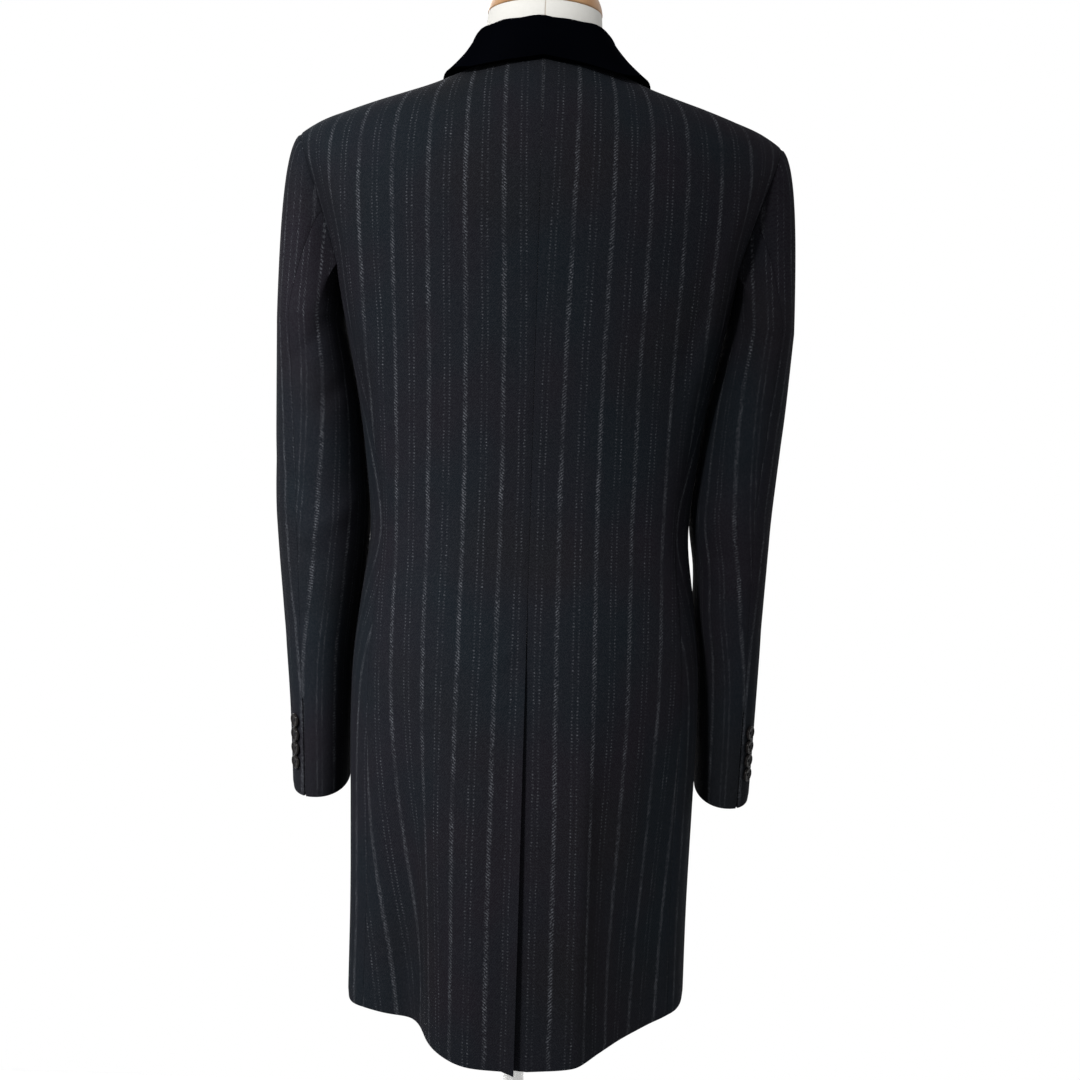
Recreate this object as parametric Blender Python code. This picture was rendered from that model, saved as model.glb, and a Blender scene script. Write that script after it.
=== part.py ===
"""Knee-length chesterfield coat with a velvet collar, standing on a limbless dress form.

Frame: metres, +Z up, origin on the floor under the stand. The coat's front faces -Y and its
wearer's left is +X. Every cut-and-sewn piece is a wall of cloth cut from one of three skins:
the body, a sleeve and the collar. A skin is a grid of points worked out from the tables below,
so pieces that share a seam share its points, and each is drawn back by half the seam's gap.
"""
import math

import bpy
import numpy as np

# ---------------------------------------------------------------- driving dimensions, metres
WALL = 0.0021                 # coat cloth with its lining
VELVET_WALL = 0.0022
SEAM_GAP = 0.0003
LAY_GAP = 0.0012              # between a lapel or an overlap and the panel that it lies on

HEM_Z = 0.500                 # hem at the sides
HEM_DIP = 0.015               # how much lower the hem is at the centre back
ARMPIT_Z = 1.235              # where the side seam meets the armhole
UNDERARM_DIP = 0.018
VENT_TOP_ROW = 6              # counted from the hem, in the lower rows
VENT_UNDERLAP = 0.034
VENT_FLARE = 0.010            # how far the vent's upper edge stands off at the hem
SHOULDER_HALF = 0.240
NECK_HALF_WIDTH = 0.078       # neck point, on the shoulder ridge
BACK_NECK_DROP = 0.030
BREAK_Z = 1.130               # where the lapel's roll line reaches the front edge
FRONT_OVERLAP = 0.020         # of each front past the centre line
GORGE_X = 0.0585              # where the collar meets the roll line
TIP_RATIO = 0.965             # armhole edge at the shoulder tip, as a share of the half width

# height, half width, back depth, front depth, power of the back's and the front's section,
# which is a superellipse
BODY_ROWS = (
    (0.480, 0.1715, 0.176, 0.150, 1.75, 2.10),
    (0.600, 0.1720, 0.166, 0.142, 1.90, 2.20),
    (0.700, 0.1745, 0.155, 0.136, 2.10, 2.30),
    (0.780, 0.1765, 0.145, 0.132, 2.25, 2.40),
    (0.850, 0.1750, 0.134, 0.128, 2.40, 2.40),
    (0.910, 0.1690, 0.121, 0.123, 2.40, 2.40),
    (0.970, 0.1625, 0.109, 0.119, 2.40, 2.40),
    (1.045, 0.1680, 0.109, 0.122, 2.40, 2.40),
    (1.110, 0.1770, 0.116, 0.128, 2.40, 2.40),
    (1.160, 0.1870, 0.122, 0.131, 2.40, 2.40),
    (1.205, 0.1960, 0.126, 0.132, 2.40, 2.40),
    (1.250, 0.2060, 0.129, 0.130, 2.40, 2.40),
    (1.310, 0.2270, 0.130, 0.124, 2.40, 2.40),
    (1.345, 0.2420, 0.130, 0.118, 2.40, 2.40),
    (1.370, 0.2515, 0.130, 0.112, 2.40, 2.40),
    (1.480, 0.2515, 0.130, 0.106, 2.40, 2.40),
)
# height, side seam as a share of the half width on the back, front line of the armhole
EDGE_ROWS = (
    (0.480, 0.888, 0.930),
    (0.800, 0.870, 0.930),
    (1.000, 0.905, 0.930),
    (1.235, 0.978, 0.930),
    (1.250, 0.982, 0.932),
    (1.300, 0.980, 0.945),
    (1.340, 0.970, 0.958),
    (1.368, 0.965, 0.965),
    (1.480, 0.965, 0.965),
)
# distance from the centre, ridge of the shoulder above the floor, its depth
RIDGE_ROWS = (
    (0.000, 1.4620, -0.004),
    (0.045, 1.4480, -0.004),
    (0.078, 1.4330, -0.005),
    (0.107, 1.4205, -0.006),
    (0.137, 1.4105, -0.007),
    (0.161, 1.4030, -0.008),
    (0.190, 1.3930, -0.009),
    (0.222, 1.3810, -0.011),
    (0.2427, 1.3690, -0.012),
    (0.260, 1.3550, -0.012),
)
BACK_ROUND = (0.190, 0.120)   # height over which the back rounds into the ridge: centre, tip
FRONT_ROUND = (0.260, 0.120)

# side (+1 left), share of the half width, spread, height of the deepest place, its reach up and
# down, outward move: the blade drape beside each armhole, then the skirt's flutes
FOLD_ROWS = (
    (+1, 0.870, 0.055, 1.235, 0.090, 0.100, 0.0085),
    (-1, 0.870, 0.055, 1.225, 0.100, 0.100, 0.0095),
    (+1, 0.280, 0.140, 0.470, 0.260, 0.100, 0.0060),
    (+1, 0.650, 0.170, 0.470, 0.240, 0.100, -0.0420),
    (+1, 0.930, 0.060, 0.470, 0.260, 0.100, 0.0100),
    (-1, 0.320, 0.140, 0.470, 0.360, 0.100, 0.0080),
    (-1, 0.640, 0.200, 0.470, 0.280, 0.100, -0.0160),
    (-1, 0.930, 0.080, 0.470, 0.260, 0.100, 0.0050),
    (+1, 0.930, 0.060, 0.980, 0.080, 0.080, -0.0030),
    (-1, 0.930, 0.060, 0.980, 0.080, 0.080, -0.0040),
)
# the same on the front
FRONT_FOLD_ROWS = (
    (+1, 0.600, 0.120, 0.470, 0.320, 0.100, 0.0080),
    (+1, 0.800, 0.090, 0.520, 0.260, 0.100, -0.0060),
    (-1, 0.520, 0.120, 0.470, 0.300, 0.100, 0.0070),
    (-1, 0.760, 0.090, 0.500, 0.280, 0.100, -0.0060),
    (+1, 0.820, 0.070, 1.240, 0.080, 0.090, 0.0060),
    (-1, 0.820, 0.070, 1.230, 0.080, 0.090, 0.0060),
)

BACK_NECK_COLUMNS = 4
# columns under the shoulder seam, as shares of the way from the centre to the armhole's edge
SHOULDER_SHARES = (0.45, 0.57, 0.68, 0.78, 0.865, 0.935, 1.0)
SHOULDER_COLUMNS = len(SHOULDER_SHARES)
SIDE_CELLS = 6
LOWER_ROWS = 12
UPPER_ROWS = 8
# distances from the centre of the front columns that end on the roll line, at their tops
ROLL_LINE_X = (0.0725, 0.0660, 0.0585, 0.0450, 0.0320, 0.0190, 0.0060, -0.0070, -0.0200)

# height, inner x, outer x, back y, front y of each sleeve's oval, left sleeve then right
SLEEVE_ROWS_LEFT = (
    (1.180, 0.1938, 0.2590, 0.078, -0.086),
    (1.100, 0.1770, 0.2590, 0.076, -0.088),
    (1.040, 0.1692, 0.2588, 0.072, -0.089),
    (0.990, 0.1650, 0.2582, 0.067, -0.090),
    (0.940, 0.1674, 0.2545, 0.061, -0.091),
    (0.895, 0.1724, 0.2506, 0.055, -0.092),
    (0.850, 0.1774, 0.2470, 0.049, -0.093),
    (0.800, 0.1795, 0.2435, 0.042, -0.094),
    (0.705, 0.1825, 0.2400, 0.026, -0.094),
)
SLEEVE_ROWS_RIGHT = (
    (1.180, 0.1938, 0.2590, 0.078, -0.086),
    (1.100, 0.1770, 0.2540, 0.076, -0.088),
    (1.040, 0.1690, 0.2490, 0.072, -0.089),
    (0.990, 0.1648, 0.2455, 0.067, -0.090),
    (0.940, 0.1712, 0.2435, 0.061, -0.091),
    (0.895, 0.1726, 0.2419, 0.055, -0.092),
    (0.850, 0.1774, 0.2410, 0.049, -0.093),
    (0.800, 0.1795, 0.2400, 0.042, -0.094),
    (0.705, 0.1825, 0.2380, 0.026, -0.094),
)
SLEEVE_POWER = 2.2
CAP_ROWS = 5
CAP_FULLNESS = 0.38           # how far the sleeve head rounds out of the armhole
ARM_ROWS = 10
CUFF_DIP = 0.006              # the cuff's hind side is lower than its fore side
HIND_ANGLE = 70.0             # hind seam round the sleeve, from its outer side, degrees
FORE_ANGLE = 290.0
BACK_LOW_ANGLE = 112.0        # foot of the armhole's back edge, round the sleeve
FRONT_LOW_ANGLE = 246.0
SEAM_STEP = 2                 # armhole points below the hind and fore seams
CUFF_VENT_ROWS = 2
CUFF_UNDERLAP = 0.022

CUFF_BUTTON = (0.0071, 0.0032)      # radius, thickness
CUFF_BUTTON_COUNT = 4
CUFF_BUTTON_LOW_Z = 0.735
CUFF_BUTTON_PITCH = 0.0147
CUFF_BUTTON_INSET = 0.0095          # from the vent's edge
FRONT_BUTTON = (0.0110, 0.0042)
CUFF_BUTTON_SEAT = 0.0005           # between a button's back and the cloth
FRONT_BUTTON_SEAT = 0.0011
FRONT_BUTTON_HEIGHTS = (1.103, 1.013, 0.914)

# plan x, plan y of the fold, its height, plan x and y of the fall's edge, its lift off the coat
COLLAR_ROWS = (
    (0.000, 0.0680, 1.4690, 0.0000, 0.0735, 0.0065),
    (0.022, 0.0650, 1.4675, 0.0250, 0.0710, 0.0065),
    (0.0425, 0.0545, 1.4670, 0.0540, 0.0660, 0.0065),
    (0.0586, 0.0325, 1.4650, 0.0790, 0.0515, 0.0060),
    (0.0672, -0.0020, 1.4600, 0.0990, 0.0090, 0.0055),
    (0.0680, -0.0280, 1.4480, 0.1055, -0.0290, 0.0050),
    (0.0665, -0.0480, 1.4270, 0.1050, -0.0600, 0.0050),
    (0.0620, -0.0660, 1.4020, 0.0990, -0.0790, 0.0050),
)
COLLAR_ROLL = 0.0048          # radius of the fold
COLLAR_BELLY = 0.0022         # how far the fall rounds out behind, and in over the shoulders
COLLAR_SHIFT = 0.004          # the fall lies this much towards the right shoulder
COLLAR_FOOT_GAP = 0.0009
LAPEL_TIP = (0.128, 1.330)
LAPEL_CELLS = 4
LAPEL_ROLL = 0.0030           # how far the lapel rolls out beside the roll line
LAPEL_EDGE_GAP = 0.0007

FORM_BOTTOM_Z = 0.720
# distance below the shoulder ridge, room between the form and the coat that rests on it
FORM_EASE_ROWS = (
    (0.000, 0.0005),
    (0.012, 0.0007),
    (0.060, 0.0040),
    (0.150, 0.0110),
    (0.300, 0.0120),
    (0.450, 0.0100),
    (0.800, 0.0160),
)
FORM_NECK_EASE = 0.0035       # more room beside the neck
FORM_TIP_INSET = 0.018        # share by which the form is narrower at the armholes
FORM_NECK_DROP = 0.029
FORM_FRONT_DROP = 0.050
FORM_NECK_STEPS = (0.35, 0.60, 0.80, 0.92, 1.0)
FORM_NECK_RADIUS = 0.0574
FORM_NECK_TOP_Z = 1.490
FORM_NECK_FLARE = 6           # how late the neck turns upright above its foot
CAP_HEIGHT = 0.0358
POLE_RADIUS = 0.0105
BASE_RADIUS = 0.1857
BASE_HEIGHT = 0.016
HUB_RADIUS = 0.028
HUB_HEIGHT = 0.036

# ---------------------------------------------------------------- materials: colour, roughness
FINISHES = {
    "coat_cloth": ((0.018, 0.021, 0.029), 0.85, 0.0),
    "velvet": ((0.004, 0.004, 0.005), 0.95, 0.0),
    "button": ((0.012, 0.012, 0.013), 0.22, 0.0),
    "linen": ((0.69, 0.64, 0.55), 0.90, 0.0),
    "wood": ((0.52, 0.33, 0.16), 0.45, 0.0),
    "lacquer": ((0.72, 0.72, 0.71), 0.35, 0.0),
}


def finish(name):
    """The sub-part's own Principled material."""
    colour, roughness, metallic = FINISHES[name]
    material = bpy.data.materials.new(name)
    material.use_nodes = True
    shader = material.node_tree.nodes["Principled BSDF"]
    shader.inputs["Base Color"].default_value = (*colour, 1.0)
    shader.inputs["Roughness"].default_value = roughness
    shader.inputs["Metallic"].default_value = metallic
    return material


# ---------------------------------------------------------------- curves through tables
def smooth_column(rows, column):
    """A smooth curve of one column against the table's first one."""
    rows = sorted(rows)
    at = np.array([row[0] for row in rows], float)
    value = np.array([row[column] for row in rows], float)
    slope = np.gradient(value, at)

    def curve(place):
        place = min(max(place, at[0]), at[-1])
        k = min(int(np.searchsorted(at, place, side="right")) - 1, len(at) - 2)
        span = at[k + 1] - at[k]
        t = (place - at[k]) / span
        return (
            value[k] * (1 + 2 * t) * (1 - t) ** 2
            + value[k + 1] * t * t * (3 - 2 * t)
            + span * (slope[k] * t * (1 - t) ** 2 - slope[k + 1] * t * t * (1 - t))
        )

    return curve


def ease(value, start, end):
    """0 at start, 1 at end, smooth between."""
    t = min(max((value - start) / (end - start), 0.0), 1.0)
    return t * t * (3 - 2 * t)


half_width = smooth_column(BODY_ROWS, 1)
back_depth = smooth_column(BODY_ROWS, 2)
front_depth = smooth_column(BODY_ROWS, 3)
back_power = smooth_column(BODY_ROWS, 4)
front_power = smooth_column(BODY_ROWS, 5)
side_seam_ratio = smooth_column(EDGE_ROWS, 1)
fore_edge_ratio = smooth_column(EDGE_ROWS, 2)
ridge_height = smooth_column(RIDGE_ROWS, 1)
ridge_depth = smooth_column(RIDGE_ROWS, 2)
form_ease = smooth_column(FORM_EASE_ROWS, 1)


# ---------------------------------------------------------------- the body's surface
def fold_move(rows, side, ratio, height):
    """How far the cloth stands out of the plain section, from the table of folds."""
    move = 0.0
    for fold_side, centre, spread, level, up, down, depth in rows:
        if fold_side != side:
            continue
        reach = up if height > level else down
        across = (ratio - centre) / spread
        along = (height - level) / reach
        move += depth * math.exp(-across * across - along * along)
    return move


def round_reach(x, back):
    """Height over which the back or front rounds into the shoulder ridge."""
    centre, tip = BACK_ROUND if back else FRONT_ROUND
    return centre + (tip - centre) * min(abs(x) / SHOULDER_HALF, 1.0)


def rounding(x, height, back):
    """0 on the shoulder ridge, 1 where the panel hangs free below it."""
    t = min(max((ridge_height(abs(x)) - height) / round_reach(x, back), 0.0), 1.0)
    return math.sqrt(max(1 - (1 - t) ** 2, 0.0))


def section_depth(ratio, height, back):
    """Depth of the plain horizontal section at a share of its half width."""
    power = back_power(height) if back else front_power(height)
    section = (1 - min(abs(ratio), 1.0) ** power) ** (1 / power)
    return section * (back_depth(height) if back else -front_depth(height))


def body_point(side, ratio, height, back, folds=True):
    """A point of the coat's outside, ratio being its share of the half width from the centre."""
    x = half_width(height) * ratio
    depth = section_depth(ratio, height, back)
    if folds:
        table = FOLD_ROWS if back else FRONT_FOLD_ROWS
        out = fold_move(table, side, abs(ratio), height)
        share = min(abs(ratio), 1.0)
        x += out * share ** 3
        depth += (out if back else -out) * (1 - share ** 8)
    ridge_y = ridge_depth(abs(x))
    y = ridge_y + (depth - ridge_y) * rounding(x, height, back)
    return np.array([side * x, y, height])


def roof_height(x, y):
    """Height of the coat above a plan point near the neck."""
    x = abs(x)
    height = ridge_height(x) - 0.02
    ridge_y = ridge_depth(x)
    back = y > ridge_y
    for _ in range(12):
        depth = section_depth(x / half_width(height), height, back)
        share = min(max((y - ridge_y) / (depth - ridge_y), 0.0), 0.999)
        height = ridge_height(x) - round_reach(x, back) * (1 - math.sqrt(1 - share * share))
    return height


def angle_of(ratio):
    """Angle round the section, 0 at the side, of a share of the half width."""
    return math.acos(min(max(ratio, 0.0), 1.0))


def roll_line_height(x):
    """Height of the lapel's roll line, from the break at the front edge to the neck point."""
    share = (x + FRONT_OVERLAP) / (NECK_HALF_WIDTH + FRONT_OVERLAP)
    top = ridge_height(NECK_HALF_WIDTH)
    return BREAK_Z + (top - BREAK_Z) * min(max(share, 0.0), 1.0) ** 0.92


class Skin:
    """Points, their outward normals, and faces with the name of the piece they are cut into."""

    def __init__(self):
        self.points = []
        self.faces = []
        self.labels = []
        self.fixed = {}
        self.normals = None

    def add(self, point):
        self.points.append(np.asarray(point, float))
        return len(self.points) - 1

    def face(self, corners, label):
        self.faces.append(tuple(corners))
        self.labels.append(label)

    def finish_normals(self):
        points = np.array(self.points)
        normals = np.zeros_like(points)
        for corners in self.faces:
            a, b, c, d = (points[k] for k in corners)
            facing = np.cross(c - a, d - b)
            for k in corners:
                normals[k] += facing
        lengths = np.linalg.norm(normals, axis=1)
        self.normals = normals / np.maximum(lengths, 1e-12)[:, None]
        self.points = points


def front_ratio(weight, height):
    """Ratio of a front column, 0 at the armhole's front line and 1 at the front edge."""
    fore = fore_edge_ratio(height)
    edge = -FRONT_OVERLAP / half_width(height)
    return fore + (edge - fore) * weight


def solve_top(ratio_at, top_at):
    """Height at which a column of changing x meets a boundary that is a function of x."""
    height = ridge_height(0.1)
    for _ in range(40):
        height += 0.5 * (top_at(ratio_at(height) * half_width(height)) - height)
    return height


def lap_move(side, x):
    """How far each front moves out or in where the left one lies over the right one."""
    return side * 0.5 * (WALL + LAY_GAP) * (1 - ease(x, 0.025, 0.070))


def row_heights(top, middle, hem=HEM_Z):
    """Even rows up to the middle, then rows that crowd towards the rounded top."""
    lower = [hem + (middle - hem) * k / LOWER_ROWS for k in range(LOWER_ROWS + 1)]
    turn = [0.5 * math.pi * k / UPPER_ROWS for k in range(1, UPPER_ROWS + 1)]
    return lower + [middle + (top - middle) * math.sin(angle) for angle in turn]


def back_shares():
    """The back panel's columns, 0 at the centre back and 1 at the side seam and armhole."""
    neck = NECK_HALF_WIDTH / (half_width(RIDGE_ROWS[0][1]) * TIP_RATIO)
    inner = [neck * k / BACK_NECK_COLUMNS for k in range(BACK_NECK_COLUMNS + 1)]
    return inner + list(SHOULDER_SHARES)


def front_weights():
    """The front panel's columns: those under the shoulder, then those under the roll line."""
    edge = -FRONT_OVERLAP / half_width(RIDGE_ROWS[0][1])
    shoulder = reversed(back_shares()[BACK_NECK_COLUMNS:])
    weights = [TIP_RATIO * (1 - share) / (TIP_RATIO - edge) for share in shoulder]
    for x in ROLL_LINE_X:
        top = roll_line_height(x)
        fore = fore_edge_ratio(top)
        edge = -FRONT_OVERLAP / half_width(top)
        weights.append((fore - x / half_width(top)) / (fore - edge))
    return weights


def back_column(side, share, hem, folds=True, neck_drop=BACK_NECK_DROP):
    """Points of one back column, from the hem to the shoulder seam or the neckline."""
    def ratio_at(height):
        return share * side_seam_ratio(height)

    def top_at(x):
        beyond = max(1 - (x / NECK_HALF_WIDTH) ** 2, 0.0)
        return ridge_height(x) - neck_drop * beyond

    heights = row_heights(solve_top(ratio_at, top_at), ARMPIT_Z, hem)
    return [body_point(side, ratio_at(z), z, True, folds) for z in heights]


def side_column(side, weight, hem, folds=True):
    """Points of one column under the arm, between the side seam and the armhole's front line."""
    top = ARMPIT_Z - UNDERARM_DIP * math.sin(math.pi * weight)
    points = []
    for j in range(LOWER_ROWS + 1):
        height = hem + (top - hem) * j / LOWER_ROWS
        start = angle_of(side_seam_ratio(height))
        end = -angle_of(fore_edge_ratio(height))
        angle = start + (end - start) * weight
        points.append(body_point(side, math.cos(angle), height, angle > 0, folds))
    return points


def front_column(side, weight, top_at):
    """Points of one front column, from the hem to the shoulder seam or the roll line."""
    def ratio_at(height):
        return front_ratio(weight, height)

    top = solve_top(ratio_at, top_at)
    points = []
    for height in row_heights(top, min(ARMPIT_Z, top - 0.080)):
        point = body_point(side, ratio_at(height), height, False)
        point[1] -= lap_move(side, side * point[0])
        points.append(point)
    return points


def form_front_column(side, weight, share):
    """Points of one column of the form's front, share 0 at the centre and 1 from the neck out."""
    def ratio_at(height):
        return front_ratio(weight, height) * share

    def top_at(x):
        beyond = max(1 - (x / NECK_HALF_WIDTH) ** 2, 0.0)
        return ridge_height(x) - FORM_FRONT_DROP * beyond

    heights = row_heights(solve_top(ratio_at, top_at), ARMPIT_Z, FORM_BOTTOM_Z)
    return [body_point(side, ratio_at(z), z, False, False) for z in heights]


def add_columns(skin, side, columns, back_edge):
    """Faces between neighbouring columns, named back or front."""
    for i in range(len(columns) - 1):
        left, right = columns[i], columns[i + 1]
        for j in range(min(len(left), len(right)) - 1):
            corners = (left[j], right[j], right[j + 1], left[j + 1])
            skin.face(corners[::-1] if side > 0 else corners, "back" if i < back_edge else "front")


def add_vent_underlap(skin, column):
    """The right back runs on under the left one below the top of the vent."""
    previous = column[:VENT_TOP_ROW + 1]
    for step in (0.5, 1.0):
        row = []
        for j in range(VENT_TOP_ROW + 1):
            point = skin.points[column[j]].copy()
            point[0] = VENT_UNDERLAP * step * (1 - 0.25 * j / VENT_TOP_ROW)
            point[1] -= 0.0030 * step
            row.append(skin.add(point))
        for j in range(VENT_TOP_ROW):
            skin.face((row[j], previous[j], previous[j + 1], row[j + 1]), "back")
        previous = row


def open_vent(side, column):
    """Below the vent's top the left back stands off and the right one tucks in under it."""
    for j in range(VENT_TOP_ROW + 1):
        if side < 0:
            column[j][1] -= WALL + LAY_GAP
        else:
            column[j][1] += VENT_FLARE * (VENT_TOP_ROW - j) / VENT_TOP_ROW


def body_skin(side):
    """Half of the coat's body, from the centre back round the side to the front edge."""
    skin = Skin()
    shares = back_shares()
    columns = [back_column(side, share, HEM_Z - HEM_DIP * (1 - share ** 2)) for share in shares]
    open_vent(side, columns[0])
    columns += [side_column(side, k / SIDE_CELLS, HEM_Z) for k in range(1, SIDE_CELLS)]
    for k, weight in enumerate(front_weights()):
        top_at = ridge_height if k <= SHOULDER_COLUMNS else roll_line_height
        columns.append(front_column(side, weight, top_at))
    columns = [[skin.add(point) for point in column] for column in columns]
    back_edge = len(shares) - 1
    front_start = back_edge + SIDE_CELLS
    # the shoulder seam's points are shared by back and front
    for k in range(SHOULDER_COLUMNS + 1):
        columns[front_start + k][-1] = columns[back_edge - k][-1]
    add_columns(skin, side, columns, back_edge)
    if side < 0:
        add_vent_underlap(skin, columns[0])
    skin.finish_normals()
    # the centre-back seam's normals point straight back on both halves
    for k in columns[0]:
        skin.normals[k][0] = 0.0
        skin.normals[k] /= np.linalg.norm(skin.normals[k])
    skin.columns = columns
    skin.armhole = columns[back_edge][LOWER_ROWS:]
    skin.armhole += columns[front_start][LOWER_ROWS:-1][::-1]
    skin.armhole += [columns[back_edge + k][-1] for k in range(SIDE_CELLS - 1, 0, -1)]
    skin.roll_line = [column[-1] for column in columns[front_start + SHOULDER_COLUMNS:]]
    skin.back_neck = [column[-1] for column in columns[:BACK_NECK_COLUMNS + 1]]
    return skin


# ---------------------------------------------------------------- sleeves
def sleeve_ring(rows, height, angle):
    """A point of the sleeve's oval, angle 0 at its outer side and 90 at the back, degrees."""
    inner, outer = smooth_column(rows, 1)(height), smooth_column(rows, 2)(height)
    back, front = smooth_column(rows, 3)(height), smooth_column(rows, 4)(height)
    c, s = math.cos(math.radians(angle)), math.sin(math.radians(angle))
    power = 2 / SLEEVE_POWER
    x = (inner + outer) / 2 + (outer - inner) / 2 * math.copysign(abs(c) ** power, c)
    y = (back + front) / 2 + (back - front) / 2 * math.copysign(abs(s) ** power, s)
    return np.array([x, y, height])


def armhole_angles(points):
    """The oval angle of each armhole point: back edge up, front edge down, then the underarm."""
    def spread(indexes, start, end):
        lengths = [0.0]
        for a, b in zip(indexes, indexes[1:]):
            lengths.append(lengths[-1] + np.linalg.norm(points[b] - points[a]))
        return [start + (end - start) * length / lengths[-1] for length in lengths]

    tip = UPPER_ROWS
    seam = SEAM_STEP
    angles = [0.0] * len(points)
    for k, angle in zip(range(seam + 1), spread(range(seam + 1), BACK_LOW_ANGLE, HIND_ANGLE)):
        angles[k] = angle
    for k, angle in zip(range(seam, tip + 1), spread(range(seam, tip + 1), HIND_ANGLE, 0.0)):
        angles[k] = angle
    fore = 2 * UPPER_ROWS - seam
    for k, angle in zip(range(tip, fore + 1), spread(range(tip, fore + 1), 360.0, FORE_ANGLE)):
        angles[k] = angle
    low = 2 * UPPER_ROWS
    for k, angle in zip(range(fore, low + 1), spread(range(fore, low + 1), FORE_ANGLE, FRONT_LOW_ANGLE)):
        angles[k] = angle
    loop = list(range(low, len(points))) + [0]
    for k, angle in zip(loop, spread(loop, FRONT_LOW_ANGLE, BACK_LOW_ANGLE)):
        if k:
            angles[k] = angle
    angles[tip] = 0.0
    return angles


def sleeve_skin(side, body):
    """A sleeve from its armhole to the cuff, sharing the armhole's points with the body."""
    rows = SLEEVE_ROWS_LEFT if side > 0 else SLEEVE_ROWS_RIGHT
    skin = Skin()
    mirror = np.array([side, 1.0, 1.0])
    hole = [body.points[k] * mirror for k in body.armhole]
    count = len(hole)
    angles = armhole_angles(hole)
    top_z, cuff_z = rows[0][0], rows[-1][0]
    low = min(point[2] for point in hole)
    high = max(point[2] for point in hole)
    rings = [[skin.add(point * mirror) for point in hole]]
    for k in range(1, CAP_ROWS + 1):
        t = k / CAP_ROWS
        ring = []
        for start, angle in zip(hole, angles):
            end = sleeve_ring(rows, top_z, angle)
            way = end - start
            length = np.linalg.norm(way)
            lift = (start[2] - low) / (high - low)
            leave = np.array([0.30 + 1.05 * lift, 0.0, 0.0]) + 0.8 * way / length
            leave *= CAP_FULLNESS * length / np.linalg.norm(leave)
            arrive = np.array([0.0, 0.0, -0.6 * length])
            point = (
                start * (1 + 2 * t) * (1 - t) ** 2
                + end * t * t * (3 - 2 * t)
                + leave * t * (1 - t) ** 2
                - arrive * t * t * (1 - t)
            )
            ring.append(skin.add(point * mirror))
        rings.append(ring)
    for k in range(1, ARM_ROWS + 1):
        t = k / ARM_ROWS
        ring = []
        for angle in angles:
            dip = CUFF_DIP * t ** 3 * math.sin(math.radians(angle))
            point = sleeve_ring(rows, top_z + (cuff_z - top_z) * t, angle)
            point[2] -= dip
            ring.append(skin.add(point * mirror))
        rings.append(ring)
    hind = SEAM_STEP
    fore = 2 * UPPER_ROWS - SEAM_STEP
    tucked, underlap = cuff_vent(skin, side, rows, rings, angles[hind])
    for i in range(len(rings) - 1):
        for j in range(count):
            after = (j + 1) % count
            corners = [rings[i][j], rings[i][after], rings[i + 1][after], rings[i + 1][j]]
            label = "top" if hind <= j < fore else "under"
            if after == hind:
                corners[1] = tucked.get(corners[1], corners[1])
                corners[2] = tucked.get(corners[2], corners[2])
            skin.face(corners if side > 0 else corners[::-1], label)
        if rings[i][hind] in underlap:
            high, low = rings[i][hind], rings[i + 1][hind]
            corners = (tucked[high], underlap[high], underlap[low], tucked[low])
            skin.face(corners if side > 0 else corners[::-1], "under")
    skin.finish_normals()
    skin.rings = rings
    skin.columns = [[ring[j] for ring in rings] for j in range(count)]
    return skin


def sleeve_facing(rows, height, angle):
    """Level direction that the sleeve's oval faces at an angle."""
    ahead = sleeve_ring(rows, height, angle + 3.0) - sleeve_ring(rows, height, angle - 3.0)
    return np.array([ahead[1], -ahead[0], 0.0]) / np.linalg.norm(ahead)


def cuff_vent(skin, side, rows, rings, hind_angle):
    """The under sleeve's hind edge tucked in below the vent's top, and its underlap's edge."""
    mirror = np.array([side, 1.0, 1.0])
    tucked, underlap = {}, {}
    for ring in rings[-CUFF_VENT_ROWS - 1:]:
        edge = ring[SEAM_STEP]
        place = skin.points[edge]
        height = place[2]
        facing = sleeve_facing(rows, height, hind_angle) * mirror
        lap = sleeve_ring(rows, height, hind_angle + 1.2) * mirror
        tucked[edge] = skin.add(lap - facing * (WALL + LAY_GAP))
        turn = 0.0
        while np.linalg.norm(lap - place) < CUFF_UNDERLAP:
            turn += 1.0
            lap = sleeve_ring(rows, height, hind_angle - turn) * mirror
        facing = sleeve_facing(rows, height, hind_angle - turn) * mirror
        underlap[edge] = skin.add(lap - facing * (WALL + 2 * LAY_GAP))
    return tucked, underlap


def share_armhole(body, sleeve):
    """Mitres both walls along the armhole and parts them by the seam's gap."""
    hole, ring = body.armhole, sleeve.rings[0]
    count = len(hole)
    for j in range(count):
        point = body.points[hole[j]]
        along = body.points[hole[(j + 1) % count]] - body.points[hole[j - 1]]
        along /= np.linalg.norm(along)
        inward = -(body.normals[hole[j]] + sleeve.normals[ring[j]]) + np.array([0, 0, 0.25])
        inward -= along * inward.dot(along)
        inward /= np.linalg.norm(inward)
        apart = np.cross(inward, along)
        down_sleeve = sleeve.points[sleeve.rings[1][j]] - point
        if apart.dot(down_sleeve) < 0:
            apart = -apart
        half = 0.5 * SEAM_GAP * apart
        body.fixed[hole[j]] = (-half, inward, along)
        sleeve.fixed[ring[j]] = (half, inward, along)


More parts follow.
